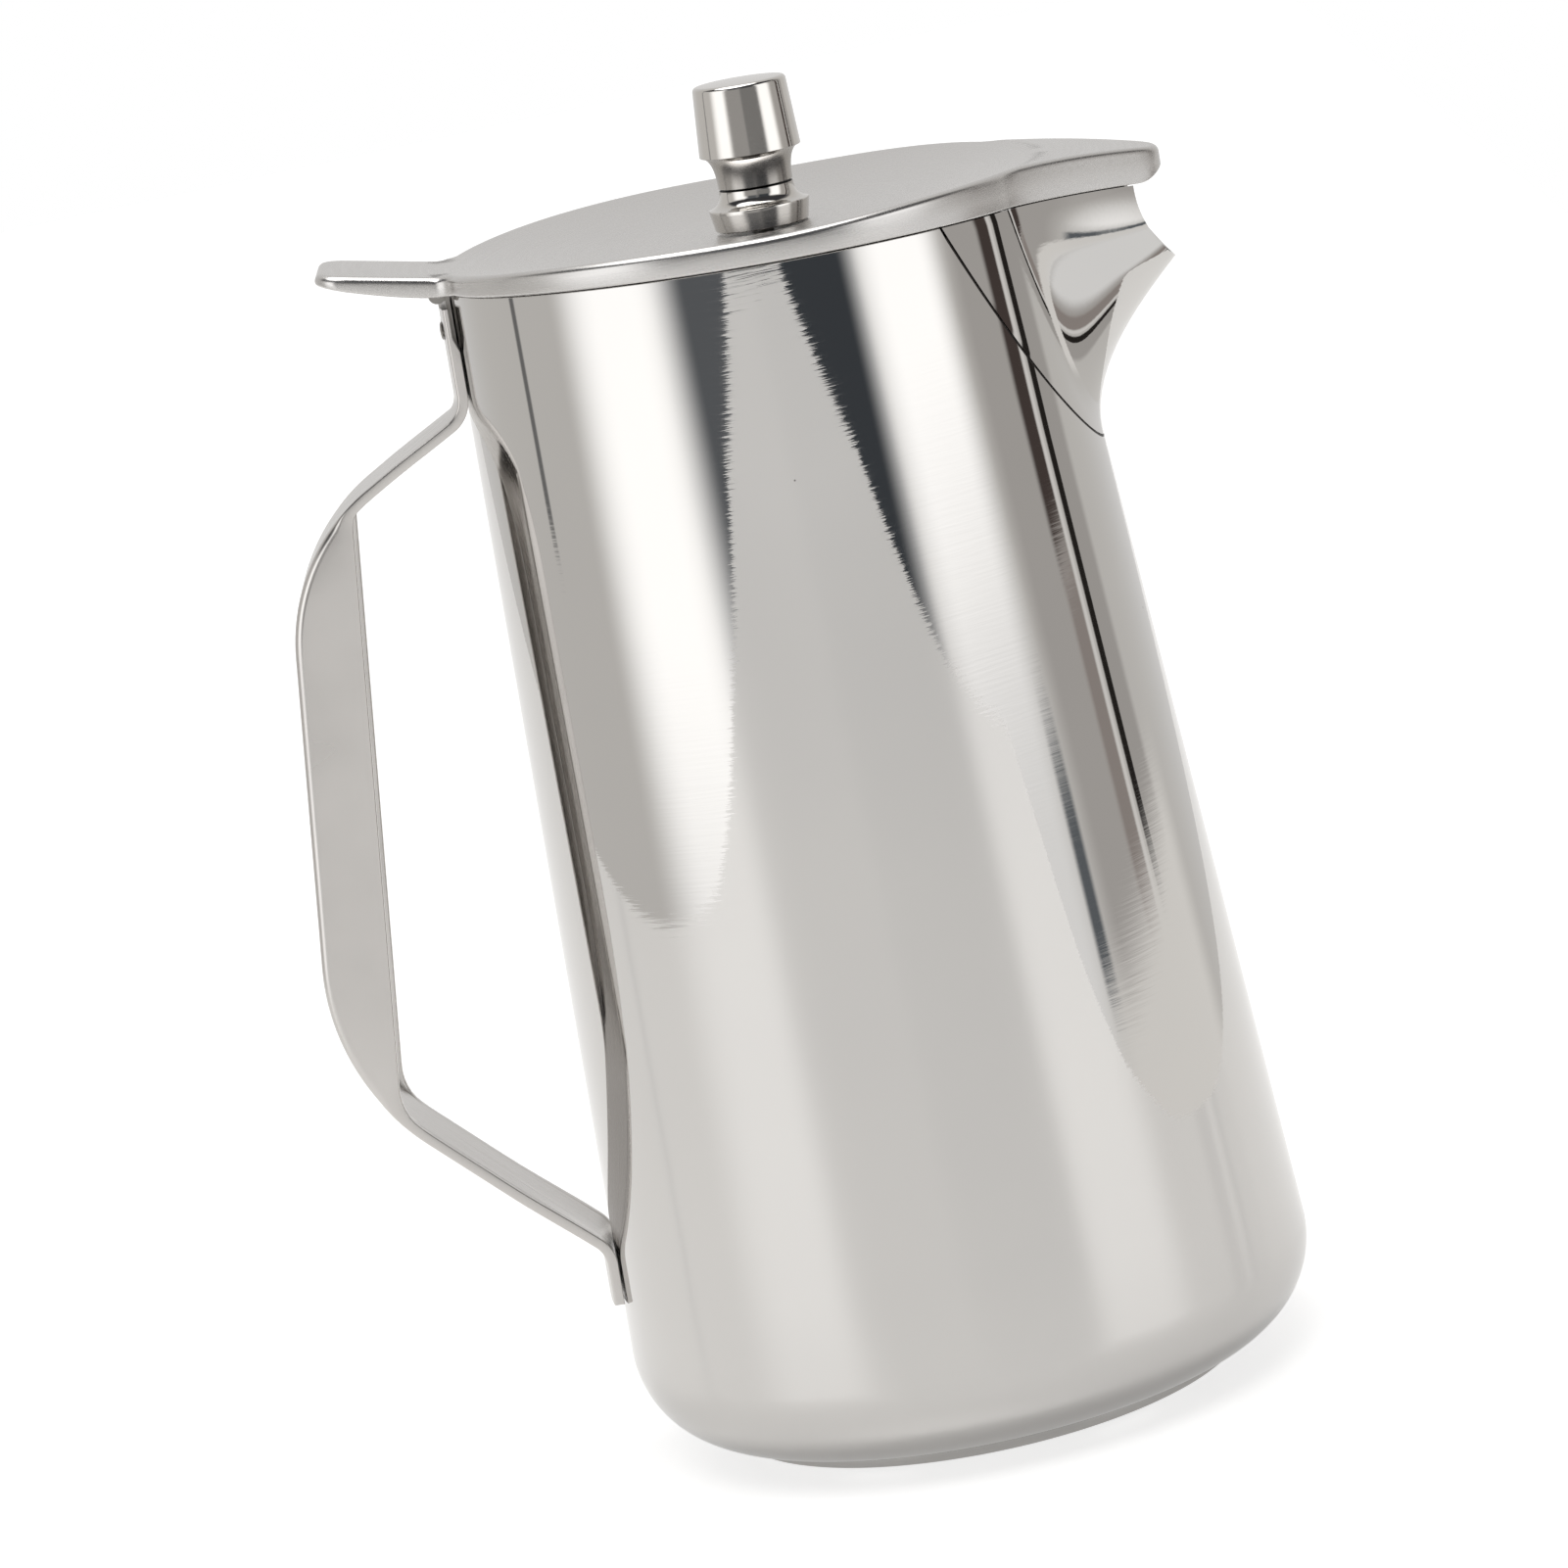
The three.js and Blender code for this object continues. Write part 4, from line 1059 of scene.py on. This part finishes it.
@dataclass
class Lid:
    """Pressed lid: dished top, turned-down hemmed band, nose over the spout and thumb tab."""

    form: VesselForm
    vessel: Vessel
    handle_width: float = 20.0
    sheet: float = 0.7
    nose_overlap: float = 6.0
    nose_round: float = 4.5
    nose_lift: float = 2.4
    nose_lift_run: float = 4.4
    band: float = 4.5
    edge_round: float = 1.3
    dish: float = 4.6
    hem: float = 2.6
    tab_hem: float = 0.91
    hem_round: float = 0.45
    nose_crown: float = 2.05
    nose_crown_reach: float = 2.2
    flare_step: float = 0.1
    tab_length: float = 21.3
    tab_clear: float = 3.0
    tab_fillet: float = 4.0
    tab_corner: float = 5.0
    tab_sink: float = 1.0
    tab_lift: float = 3.9
    tab_tip_edge: float = 2.1
    tab_edge_power: float = 1.3
    dish_rings: int = 30
    dish_reach: Flat = (0.04, 0.99)
    under_rings: int = 14
    under_reach: Flat = (0.97, 0.04)
    shoulder_rings: int = 9
    hem_rings: int = 5
    # Points of the nose, flare, round edge and fillet, and of the tab's side, corner and end.
    outline_counts: tuple[int, ...] = (25, 49, 129, 13, 15, 17, 7)
    sharp: float = 50.0
    outline_points: list[tuple[Vector, Vector]] = field(default_factory=list)

    @property
    def frame(self) -> Matrix:
        """Place of the lid's own sloping frame on the vessel."""
        slope = Matrix.Rotation(self.form.rim_slope, 4, "Y")
        return Matrix.Translation((0, 0, self.form.rim_height)) @ slope

    def flare(self, x: float) -> Vector:
        """Place on the plan curve from the round edge to the side of the nose.

        Args:
            x: Place in the direction of pouring.

        Returns:
            The place on the lid's outline.
        """
        step = self.flare_step
        before, here, after = (
            self.vessel.flank(spot, 1, self.form.top_radius, self.vessel.beak_x)
            for spot in (x - step, x, x + step)
        )
        outward = Vector((before - after, 2 * step)).normalized()
        return Vector((x, here)) + outward * self.form.lid_overhang

    def half_outline(self) -> list[Vector]:
        """Plan outline of one half.

        Returns:
            Points from the nose round to the middle of the thumb tab.
        """
        vessel, radius, soft = self.vessel, self.form.lid_radius, self.tab_fillet
        nose_count, flare_count, edge_count, fillet_count, *tab_counts = self.outline_counts
        side_count, corner_count, end_count = tab_counts
        front = vessel.lip_x + self.nose_overlap
        end = -(radius + self.tab_length)
        half = self.handle_width / 2 + self.tab_clear
        bend = vessel.spout_half_angle - vessel.wall_lap
        flare_end = self.form.top_radius * math.cos(bend)
        flare = [self.flare(x) for x in spaced(vessel.lip_x, flare_end, flare_count)]
        onward = (flare[0] - flare[1]).normalized()
        nose = [
            Vector((front, 0)),
            Vector((front, self.nose_round)),
            flare[0] + onward * self.nose_round,
            flare[0],
        ]
        fillet = Vector((-math.sqrt((radius + soft) ** 2 - (half + soft) ** 2), half + soft))
        meet = math.atan2(fillet.y, fillet.x)
        corner = Vector((end + self.tab_corner, half - self.tab_corner))
        return [
            *(bezier(nose, share) for share in spaced(0, 1, nose_count)),
            *flare[1:],
            *arc((0, 0), radius, bend, meet, edge_count)[1:],
            *arc(fillet, soft, meet + math.pi, 3 * QUARTER, fillet_count)[1:],
            *(Vector((x, half)) for x in spaced(fillet.x, corner.x, side_count)[1:]),
            *arc(corner, self.tab_corner, QUARTER, math.pi, corner_count)[1:],
            *(Vector((end, y)) for y in spaced(corner.y, 0, end_count)[1:]),
        ]

    def outline(self) -> list[tuple[Vector, Vector]]:
        """Plan outline of the whole lid.

        Returns:
            Each point with its outward normal.
        """
        half = self.half_outline()
        loop = [*half, *(Vector((p.x, -p.y)) for p in reversed(half[1:-1]))]
        points = []
        for before, spot, after in zip([loop[-1], *loop], loop, [*loop[1:], loop[0]]):
            along = (after - before).normalized()
            points.append((spot, Vector((along.y, -along.x))))
        return points

    def tab_share(self, x: float) -> float:
        """How far along the thumb tab a place lies, from 0 at the round edge to 1 at the tip."""
        return clamped((-x - self.form.lid_radius) / self.tab_length)

    def top(self, spot: Vector) -> float:
        """Height of the top face in the lid's frame.

        Args:
            spot: Place in plan.

        Returns:
            Height over the rim's sloping plane.
        """
        radius = self.form.lid_radius
        out = min(1.0, spot.length / radius)
        dish = self.dish * (1 - out * out)
        crown_x = self.form.top_radius + self.nose_crown_reach
        crown = self.nose_crown * math.sin(max(0.0, spot.x) / crown_x * QUARTER) ** 2
        sink = self.tab_sink * clamped(-spot.x / radius) ** 3
        lift = self.tab_lift * self.tab_share(spot.x)
        return self.band - dish + crown - sink - self.form.bow(spot.x) + lift

    def low(self, spot: Vector) -> float:
        """Height of the band's lower edge in the lid's frame.

        Args:
            spot: Place in plan.

        Returns:
            Height over the rim's sloping plane.
        """
        tip = self.band - self.tab_sink + self.tab_lift - self.tab_tip_edge
        tab = tip * self.tab_share(spot.x) ** self.tab_edge_power
        nose = self.vessel.lip_x + self.nose_overlap
        front = clamped(1 + (spot.x - nose) / self.nose_lift_run)
        return tab + self.nose_lift * front * front - self.form.bow(spot.x)

    def ring(
        self, inset: Callable[[Vector], float], height: Callable[[Vector, Vector], float]
    ) -> list[Vector]:
        """Ring that follows the outline.

        Args:
            inset: Distance inside the outline at a place on it.
            height: Height at a place and its normal.

        Returns:
            Points in the lid's frame.
        """
        return [
            Vector((*(spot - normal * inset(spot)), height(spot, normal)))
            for spot, normal in self.outline_points
        ]

    def dish_ring(self, share: float, drop: float) -> list[Vector]:
        """Ring on the dished face, at a share of the way out, a sheet's drop below it or on it."""
        spots = [(spot - normal * self.edge_round) * share for spot, normal in self.outline_points]
        return [Vector((*spot, self.top(spot) - drop)) for spot in spots]

    def build(self) -> Object:
        """Extrude the outline through the dish, the rounded shoulder, the band and the hem.

        Returns:
            The finished lid.
        """
        self.outline_points = self.outline()
        soft, edge, sheet = self.edge_round, self.hem_round, self.sheet

        def shoulder(spot: Vector, normal: Vector) -> float:
            """Height where the flat top meets the rounded shoulder."""
            return self.top(spot - normal * soft)

        def hem(spot: Vector) -> float:
            """Width of the turned-in hem."""
            return self.tab_hem if self.tab_share(spot.x) > 0 else self.hem

        top, under = (
            [Vector((0, 0, self.band - self.dish - drop))] * len(self.outline_points)
            for drop in (0, sheet)
        )
        rings = [top]
        rings += [self.dish_ring(share, 0) for share in spaced(*self.dish_reach, self.dish_rings)]
        for angle in spaced(0, QUARTER, self.shoulder_rings):
            inset, drop = soft * (1 - math.sin(angle)), soft * (1 - math.cos(angle))
            rings.append(self.ring(lambda _: inset, lambda p, n: shoulder(p, n) - drop))
        for angle in spaced(0, QUARTER, self.hem_rings):
            inset, rise = edge * (1 - math.cos(angle)), edge * (1 - math.sin(angle))
            rings.append(self.ring(lambda _: inset, lambda p, _: self.low(p) + rise))
        rings += [
            self.ring(hem, lambda p, _: self.low(p)),
            self.ring(hem, lambda p, _: self.low(p) + sheet),
            self.ring(lambda _: sheet, lambda p, _: self.low(p) + sheet),
            self.ring(lambda _: sheet, lambda p, n: shoulder(p, n) - soft),
            self.ring(lambda _: soft, lambda p, n: shoulder(p, n) - sheet),
        ]
        shares = spaced(*self.under_reach, self.under_rings)
        rings += [self.dish_ring(share, sheet) for share in shares]
        bm = bmesh.new()
        loft(bm, [*rings, under])
        bmesh.ops.transform(bm, matrix=self.frame, verts=bm.verts)
        return make_piece(bm, "pressed_lid", self.sharp)

    def dress(self, satin: Material) -> None:
        """Build the lid and place it in satin steel."""
        place(self.build(), Body.LID, Slot.SATIN, satin, "lid")


@dataclass
class Knob:
    """Turned knob cap on its collar, with a narrow groove as the joint between them."""

    lid: Lid
    x: float = 3.7
    top_radius: float = 8.3
    shoulder_radius: float = 9.0
    neck_radius: float = 6.6
    height: float = 25.6
    shoulder_height: float = 13.3
    shoulder_pull: float = 0.4
    shoulder_below: Flat = (0.12, 0.1)
    shoulder_above: Flat = (0.02, 0.25)
    edge: float = 0.8
    edge_points: int = 7
    crown: float = 0.17
    crown_start: float = 0.9
    crown_points: int = 8
    hole: float = 9.2
    collar_height: float = 7.1
    collar_radius: float = 8.9
    collar_foot: float = 7.6
    collar_skirt: float = 8.3
    collar_chamfer: float = 0.2
    collar_widest: float = 3.6
    collar_brow: float = 0.3
    collar_round: Flat = (0.08, 0.22)
    collar_pull: float = 0.8
    waist_points: int = 13
    stack_gap: float = 0.2
    groove: float = 0.12
    groove_depth: float = 4.2
    groove_edge: float = 0.15
    bore: float = 2.15
    # Points at the end of each profile that lie in the joint or in the bore; their faces are
    # painted dark as shade.
    cap_inside: int = 6
    collar_inside: int = 5
    steps: int = 160
    sharp: float = 32.0

    def seat(self) -> Matrix:
        """Place of the knob's foot on the lid."""
        height = self.lid.top(Vector((self.x + self.collar_foot, 0))) + self.stack_gap
        return self.lid.frame @ Matrix.Translation((self.x, 0, height))

    def waist(self, start: Flat, end: Flat, pull: Flat) -> list[Flat]:
        """Hollow curve of the knob's waist.

        Args:
            start: Radius and height where it starts.
            end: Radius and height where it ends.
            pull: Place that draws it in.

        Returns:
            Points between the ends.
        """
        return [
            tuple(
                (1 - share) ** 2 * a + 2 * (1 - share) * share * p + share * share * b
                for a, p, b in zip(start, pull, end)
            )
            for share in spaced(0, 1, self.waist_points)[1:-1]
        ]

    def build(self, name: str, profile: Sequence[Flat], inside: int) -> Object:
        """Turn a profile and stand it on the lid.

        Args:
            name: Name of the piece.
            profile: Half section as radius and height.
            inside: Number of its last points that lie in the joint or the bore.

        Returns:
            The finished piece.
        """
        bm = bmesh.new()
        turn(bm, profile, self.steps, -inside)
        bmesh.ops.transform(bm, matrix=self.seat(), verts=bm.verts)
        return make_piece(bm, name, self.sharp)

    def collar_profile(self) -> list[Flat]:
        """Half section of the collar.

        Returns:
            Points from its bore round the outside into the joint.
        """
        wide, widest, high = self.collar_radius, self.collar_widest, self.collar_height
        neck, slot = self.neck_radius, high - self.groove
        brow = (wide - self.collar_brow, widest + self.collar_brow)
        return [
            (self.bore, 0.0),
            (self.collar_skirt - self.collar_chamfer, 0.0),
            (self.collar_skirt, self.collar_chamfer),
            (wide, widest),
            (wide - self.collar_round[0], widest + self.collar_round[1]),
            brow,
            *self.waist(brow, (neck, high), (neck, widest + self.collar_pull)),
            (neck, slot),
            (neck - self.groove_edge, slot),
            (neck - self.groove_depth, slot),
            (neck - self.groove_depth, high),
            (self.bore, high),
            (self.bore, 0.0),
        ]

    def cap_profile(self) -> list[Flat | Vector]:
        """Half section of the cap.

        Returns:
            Points from its top round the outside into the joint and its hole.
        """
        neck, flat = self.neck_radius, self.top_radius - self.edge
        wide, high = self.shoulder_radius, self.shoulder_height
        low = self.collar_height + self.stack_gap
        slot = low + self.groove
        below, above = self.shoulder_below, self.shoulder_above
        return [
            *(
                (flat * share, self.height + self.crown * (1 - share * share))
                for share in spaced(0, self.crown_start, self.crown_points)
            ),
            *arc((flat, self.height - self.edge), self.edge, QUARTER, 0, self.edge_points),
            (wide - above[0], high + above[1]),
            (wide, high),
            (wide - below[0], high - below[1]),
            *self.waist((wide, high), (neck, slot), (neck, high - self.shoulder_pull)),
            (neck, slot),
            (neck - self.groove_edge, slot),
            (neck - self.groove_depth, slot),
            (neck - self.groove_depth, low),
            (self.bore, low),
            (self.bore, low + self.hole),
            (0.0, low + self.hole),
        ]

    def dress(self, turned: Material) -> None:
        """Build cap and collar and place them in turned, polished steel.

        Args:
            turned: Finish of both.
        """
        cap = self.build("knob_top", self.cap_profile(), self.cap_inside)
        place(cap, Body.LID, Slot.POLISHED, turned, "knob_cap")
        collar = self.build("knob_foot", self.collar_profile(), self.collar_inside)
        place(collar, Body.LID, Slot.POLISHED, turned, "knob_collar")


@dataclass
class SmallParts:
    """Hinge leaves, pin, rivets, washer and screw, which keep their solids' shapes."""

    names: tuple[str, ...] = (
        "hinge_fixed_leaf",
        "hinge_lid_leaf",
        "hinge_pin",
        "hinge_rivet_left",
        "hinge_rivet_right",
        "knob_washer",
        "knob_screw",
    )

    def dress(self, plain: Material) -> None:
        """Give each small part its plain steel.

        Args:
            plain: Finish of all of them.
        """
        for name in self.names:
            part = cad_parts[name]
            part.data.materials.clear()
            part.data.materials.append(plain)
            log.info("%s keeps its solid", name)


@dataclass(frozen=True)
class Panel:
    """Patch of the studio's surroundings, in degrees round from the camera and up."""

    start: float
    end: float
    start_soft: float
    end_soft: float
    low: float
    high: float
    tone: str
    strength: float = 1.0
    low_soft: float = 0.3
    high_soft: float = 3.0


@dataclass
class Studio:
    """Pale floor, soft studio surroundings and the camera of the photograph."""

    eye: tuple[float, float, float] = (0.0, -1224.9, 354.2)
    aim: tuple[float, float, float] = (-13.43, 0.0, 115.46)
    roll: float = math.radians(-12.25)
    lens: float = 160.7
    sensor: float = 36.0
    clip_end: float = 100.0
    lamp_place: tuple[float, float, float] = (-350.0, -250.0, 1700.0)
    lamp_aim: tuple[float, float, float] = (0.0, 0.0, 100.0)
    lamp_size: float = 1400.0
    lamp_watts: float = 10.0
    room_tone: str = "#dcdad7"
    floor_tone: str = "#ecebe9"
    floor_roughness: float = 0.28
    floor_glow: float = 1.45
    # Share of the floor's own glow for the camera, and for the steel from near to far.
    glow_seen: float = 0.5
    glow_mirrored: Flat = (0.24, 0.37)
    glow_reach: Flat = (-600.0, -3000.0)
    # Its edges decide where the steel mirrors the floor and where the room.
    floor_outline: tuple[Flat, ...] = (
        (300, 2600), (-780, 2600), (-780, -500), (-1000, -1250), (-1360, -3100), (-1450, -6100),
        (-1500, -9000), (1500, -9000), (1450, -6100), (1360, -3100), (1000, -1250), (1000, -700),
        (760, -480), (540, -300), (400, -170), (320, -60), (300, 60),
    )
    panels: tuple[Panel, ...] = (
        Panel(-40, 0, 3, 8, -12, 60, "#676a6e"),
        Panel(0, 40, 8, 3, -12, 60, "#44484d"),
        Panel(-73, -37, 12, 11, -14, 26, "#ffffff", 1.2),
        Panel(-73, -37, 12, 11, -7, 26, "#ffffff", 1.7, low_soft=2.2),
        Panel(41, 72, 9, 7, -45, 26, "#ffffff", 1.06),
        Panel(41, 72, 9, 7, -5.2, 26, "#ffffff", 1.7, low_soft=2.4),
        Panel(-105.5, -103, 0.6, 0.6, -5.4, 50, "#7c7c7c"),
        Panel(79, 97, 4, 2, -45, 50, "#c1bebb"),
        Panel(96.5, 103.5, 1.5, 0.5, -6.2, 50, "#4f4643"),
        Panel(96.5, 103.5, 1.5, 0.5, -45, -6.2, "#a39b97", high_soft=0.5),
        Panel(104, 105.6, 0.4, 0.4, -45, 50, "#f2f0ee"),
        Panel(107, 110.6, 0.5, 0.4, -45, 50, "#2b2826"),
        Panel(110.6, 120, 0.4, 2, -45, 50, "#bab7b4"),
        Panel(71.2, 76, 1.2, 1.2, -8.9, -6.9, "#6a6f74", low_soft=0.4, high_soft=0.8),
        Panel(70, 126, 8, 6, -12.2, -9.1, "#fbf9f6", high_soft=0.5),
        Panel(60, 92, 5, 4, -45, -12, "#ffffff", high_soft=2),
        Panel(-40, 0, 8, 4, -0.8, 16, "#b0aeac"),
        Panel(0, 40, 4, 6, -0.8, 16, "#8e8d8c"),
        Panel(140, 181, 16, 0.1, -12, 80, "#e2e1e0"),
        Panel(-181, -140, 0.1, 16, -12, 80, "#e2e1e0"),
        Panel(-110, 110, 14, 14, 30, 64, "#414144"),
        Panel(-181, 181, 0.1, 0.1, 66, 100, "#ffffff", 3.0),
    )

    def surroundings(self) -> None:
        """Light the scene: white for the camera, a pale room with soft boxes for the steel."""
        world = bpy.data.worlds.new("studio")
        bpy.context.scene.world = world
        world.use_nodes = True
        tree = world.node_tree
        tree.nodes.clear()
        node = partial(add_node, tree)
        heading = node("TexCoord").outputs["Generated"]
        x, y, z = node("SeparateXYZ", links={0: heading}).outputs
        front = node("Math", {"operation": "MULTIPLY", 1: -1.0}, {0: y})
        round_angle = node("Math", {"operation": "ARCTAN2"}, {0: x, 1: front})
        rise_angle = node("Math", {"operation": "ARCSINE"}, {0: z})
        azimuth, rise = (
            node("Math", {"operation": "DEGREES"}, {0: angle}).outputs[0]
            for angle in (round_angle, rise_angle)
        )
        tone = node("RGB")
        tone.outputs[0].default_value = linear(self.room_tone)
        picture = tone.outputs[0]
        for panel in self.panels:
            picture = self.lay_panel(tree, panel, azimuth, rise, picture)
        room = node("Background", {"Strength": 1.0}, {"Color": picture})
        white = node("Background", {"Color": (1, 1, 1, 1), "Strength": 1.0})
        seen = node("LightPath").outputs["Is Camera Ray"]
        chosen = node("MixShader", links={0: seen, 1: room, 2: white})
        node("OutputWorld", links={"Surface": chosen})

    def lay_panel(
        self,
        tree: NodeTree,
        panel: Panel,
        azimuth: NodeSocket,
        rise: NodeSocket,
        under: NodeSocket,
    ) -> NodeSocket:
        """Lay one soft-edged panel over the surroundings.

        Args:
            tree: World's node tree.
            panel: Panel to lay.
            azimuth: Degrees round from the camera.
            rise: Degrees up from the level.
            under: Colour that the panel covers.

        Returns:
            Colour with the panel on it.
        """
        node = partial(add_node, tree)
        sides = (
            (azimuth, panel.start, panel.start_soft, 0.0),
            (azimuth, panel.end, panel.end_soft, 1.0),
            (rise, panel.low, panel.low_soft, 0.0),
            (rise, panel.high, panel.high_soft, 1.0),
        )
        mask = None
        for source, middle, soft, before in sides:
            ramp = node(
                "MapRange",
                {
                    "interpolation_type": "SMOOTHSTEP",
                    "From Min": middle - soft,
                    "From Max": middle + soft,
                    "To Min": before,
                    "To Max": 1.0 - before,
                },
                {"Value": source},
            )
            mask = node("Math", {"operation": "MULTIPLY"}, {0: mask, 1: ramp}) if mask else ramp
        bright = [part * panel.strength for part in linear(panel.tone)[:3]]
        laid = node("Mix", {"data_type": "RGBA", 7: (*bright, 1.0)}, {0: mask, 6: under})
        return laid.outputs[2]

    def floor(self) -> None:
        """Pale, slightly glossy table top that runs on towards the camera."""
        bm = bmesh.new()
        verts = [bm.verts.new((x, y, 0.0)) for x, y in self.floor_outline]
        bmesh.ops.contextual_create(bm, geom=verts)
        bmesh.ops.recalc_face_normals(bm, faces=bm.faces)
        table = make_piece(bm, "table_top")
        if table.data.polygons[0].normal.z < 0:
            table.data.flip_normals()
        table.data.materials.append(self.floor_material())

    def floor_material(self) -> Material:
        """White laminate: satin sheen, and white itself to the camera and in the steel.

        Returns:
            The new material.
        """
        made = bpy.data.materials.new("white_laminate")
        made.use_nodes = True
        tree = made.node_tree
        node = partial(add_node, tree)
        shader = tree.nodes["Principled BSDF"]
        shader.inputs["Base Color"].default_value = linear(self.floor_tone)
        shader.inputs["Roughness"].default_value = self.floor_roughness
        glow = node("Emission", {"Color": (1, 1, 1, 1), "Strength": self.floor_glow})
        path = node("LightPath").outputs
        along = node("SeparateXYZ", links={0: node("TexCoord").outputs["Object"]}).outputs["Y"]
        near, far = self.glow_reach
        low, high = self.glow_mirrored
        mirrored = node(
            "MapRange",
            {"From Min": near * MM, "From Max": far * MM, "To Min": low, "To Max": high},
            {"Value": along},
        )
        steel = node("Math", {"operation": "MULTIPLY"}, {0: path["Is Glossy Ray"], 1: mirrored})
        share = node(
            "Math",
            {"operation": "MULTIPLY_ADD", 1: self.glow_seen},
            {0: path["Is Camera Ray"], 2: steel},
        )
        mixed = node("MixShader", links={0: share, 1: shader, 2: glow})
        tree.links.new(mixed.outputs[0], tree.nodes["Material Output"].inputs["Surface"])
        return made

    def lamps(self) -> None:
        """One broad soft lamp overhead, for the contact shadow."""
        light = bpy.data.lights.new("overhead", "AREA")
        light.shape = "DISK"
        light.size = self.lamp_size * MM
        light.energy = self.lamp_watts
        lamp = bpy.data.objects.new("overhead", light)
        lamp.location = Vector(self.lamp_place) * MM
        heading = Vector(self.lamp_aim) * MM - lamp.location
        lamp.rotation_euler = heading.to_track_quat("-Z", "Y").to_euler()
        bpy.context.scene.collection.objects.link(lamp)

    def camera(self) -> None:
        """Camera at the photograph's viewing angle."""
        lens = bpy.data.cameras.new("camera")
        lens.lens = self.lens
        lens.sensor_width = self.sensor
        lens.clip_end = self.clip_end
        camera = bpy.data.objects.new("camera", lens)
        camera.location = Vector(self.eye) * MM
        camera.rotation_mode = "QUATERNION"
        heading = (Vector(self.aim) * MM - camera.location).to_track_quat("-Z", "Y")
        camera.rotation_quaternion = heading @ Quaternion((0, 0, 1), self.roll)
        bpy.context.scene.collection.objects.link(camera)
        bpy.context.scene.camera = camera

    def set_up(self) -> None:
        """Build the whole stage."""
        self.camera()
        self.surroundings()
        self.floor()
        self.lamps()
        bpy.context.scene.view_settings.view_transform = "Standard"


# Mirror-polished 18/10 sheet: clear reflections, broken up by faint lines round the vessel.
# The vessel's inside is left satin, so it looks soft and grey when the lid is open.
POLISHED = SteelFinish(
    name="mirror_polished_stainless",
    colour="#cdcbc8",
    cloud_colour="#c8c6c4",
    roughness=0.025,
    roughness_spread=0.01,
    line_spacing=0.6,
    line_length=12.0,
    line_depth=0.0021,
    cloud_size=40.0,
    pit_spacing=26.0,
    pit_size=0.5,
)

# Satin sheet of the lid: soft reflections from fine lines round its middle.
SATIN_LID = SteelFinish(
    name="satin_stainless_lid",
    colour="#cac8c6",
    cloud_colour="#c6c4c2",
    roughness=0.27,
    roughness_spread=0.04,
    line_spacing=0.5,
    line_length=25.0,
    line_depth=0.0002,
    cloud_size=30.0,
    pit_spacing=18.0,
    pit_size=0.4,
)

# Satin strap, rolled and ground along its length: soft streaks that run with the strap.
SATIN_STRAP = SteelFinish(
    name="satin_stainless_strap",
    colour="#cdcac7",
    cloud_colour="#c6c3c0",
    roughness=0.22,
    roughness_spread=0.07,
    line_spacing=0.5,
    line_length=22.0,
    line_depth=0.0004,
    cloud_size=16.0,
    pit_spacing=9.0,
    pit_size=0.35,
    grain=Grain.LENGTHWISE,
)

# Turned and polished bar of the knob: bright, with the lathe's rings.
# Painted shade on the faces in the joint between cap and collar and in the bore makes that joint a
# dark line.
TURNED = SteelFinish(
    name="turned_stainless_knob",
    colour="#d2cfcb",
    cloud_colour="#cac7c3",
    roughness=0.09,
    roughness_spread=0.03,
    line_spacing=0.45,
    line_length=12.0,
    line_depth=0.0005,
    cloud_size=12.0,
    pit_spacing=14.0,
    pit_size=0.3,
    axis_x=Knob.x,
    # Painted shade: the faces in the joint and the bore are coloured near black.
    inside_tone_and_painted_shade="#1b1918",
)

# Mill-finish sheet and wire of the hinge and the fixings: grey and dull.
PLAIN = SteelFinish(
    name="mill_finish_stainless",
    colour="#a8a5a1",
    cloud_colour="#8f8c88",
    roughness=0.38,
    roughness_spread=0.08,
    line_spacing=0.4,
    line_length=6.0,
    line_depth=0.002,
    cloud_size=5.0,
    pit_spacing=5.0,
    pit_size=0.2,
    grain=Grain.LENGTHWISE,
)

# Weld bead left as welded in the spout's seam: dark oxide, dull and uneven.
WELD = SteelFinish(
    name="oxidised_weld",
    colour="#3b3836",
    cloud_colour="#2a2827",
    roughness=0.5,
    roughness_spread=0.08,
    line_spacing=0.4,
    line_length=1.0,
    line_depth=0.01,
    cloud_size=3.0,
    pit_spacing=5.0,
    pit_size=0.2,
)


def main() -> None:
    """Build the stage and the pitcher."""
    logging.basicConfig(level=logging.INFO, format="%(name)s: %(message)s")
    Studio().set_up()
    form = VesselForm()
    vessel = Vessel(form)
    vessel.dress(POLISHED.material(), WELD.material())
    StrapHandle(form).dress(SATIN_STRAP.material())
    lid = Lid(form, vessel)
    lid.dress(SATIN_LID.material())
    Knob(lid).dress(TURNED.material())
    SmallParts().dress(PLAIN.material())


if __name__ == "__main__":
    main()
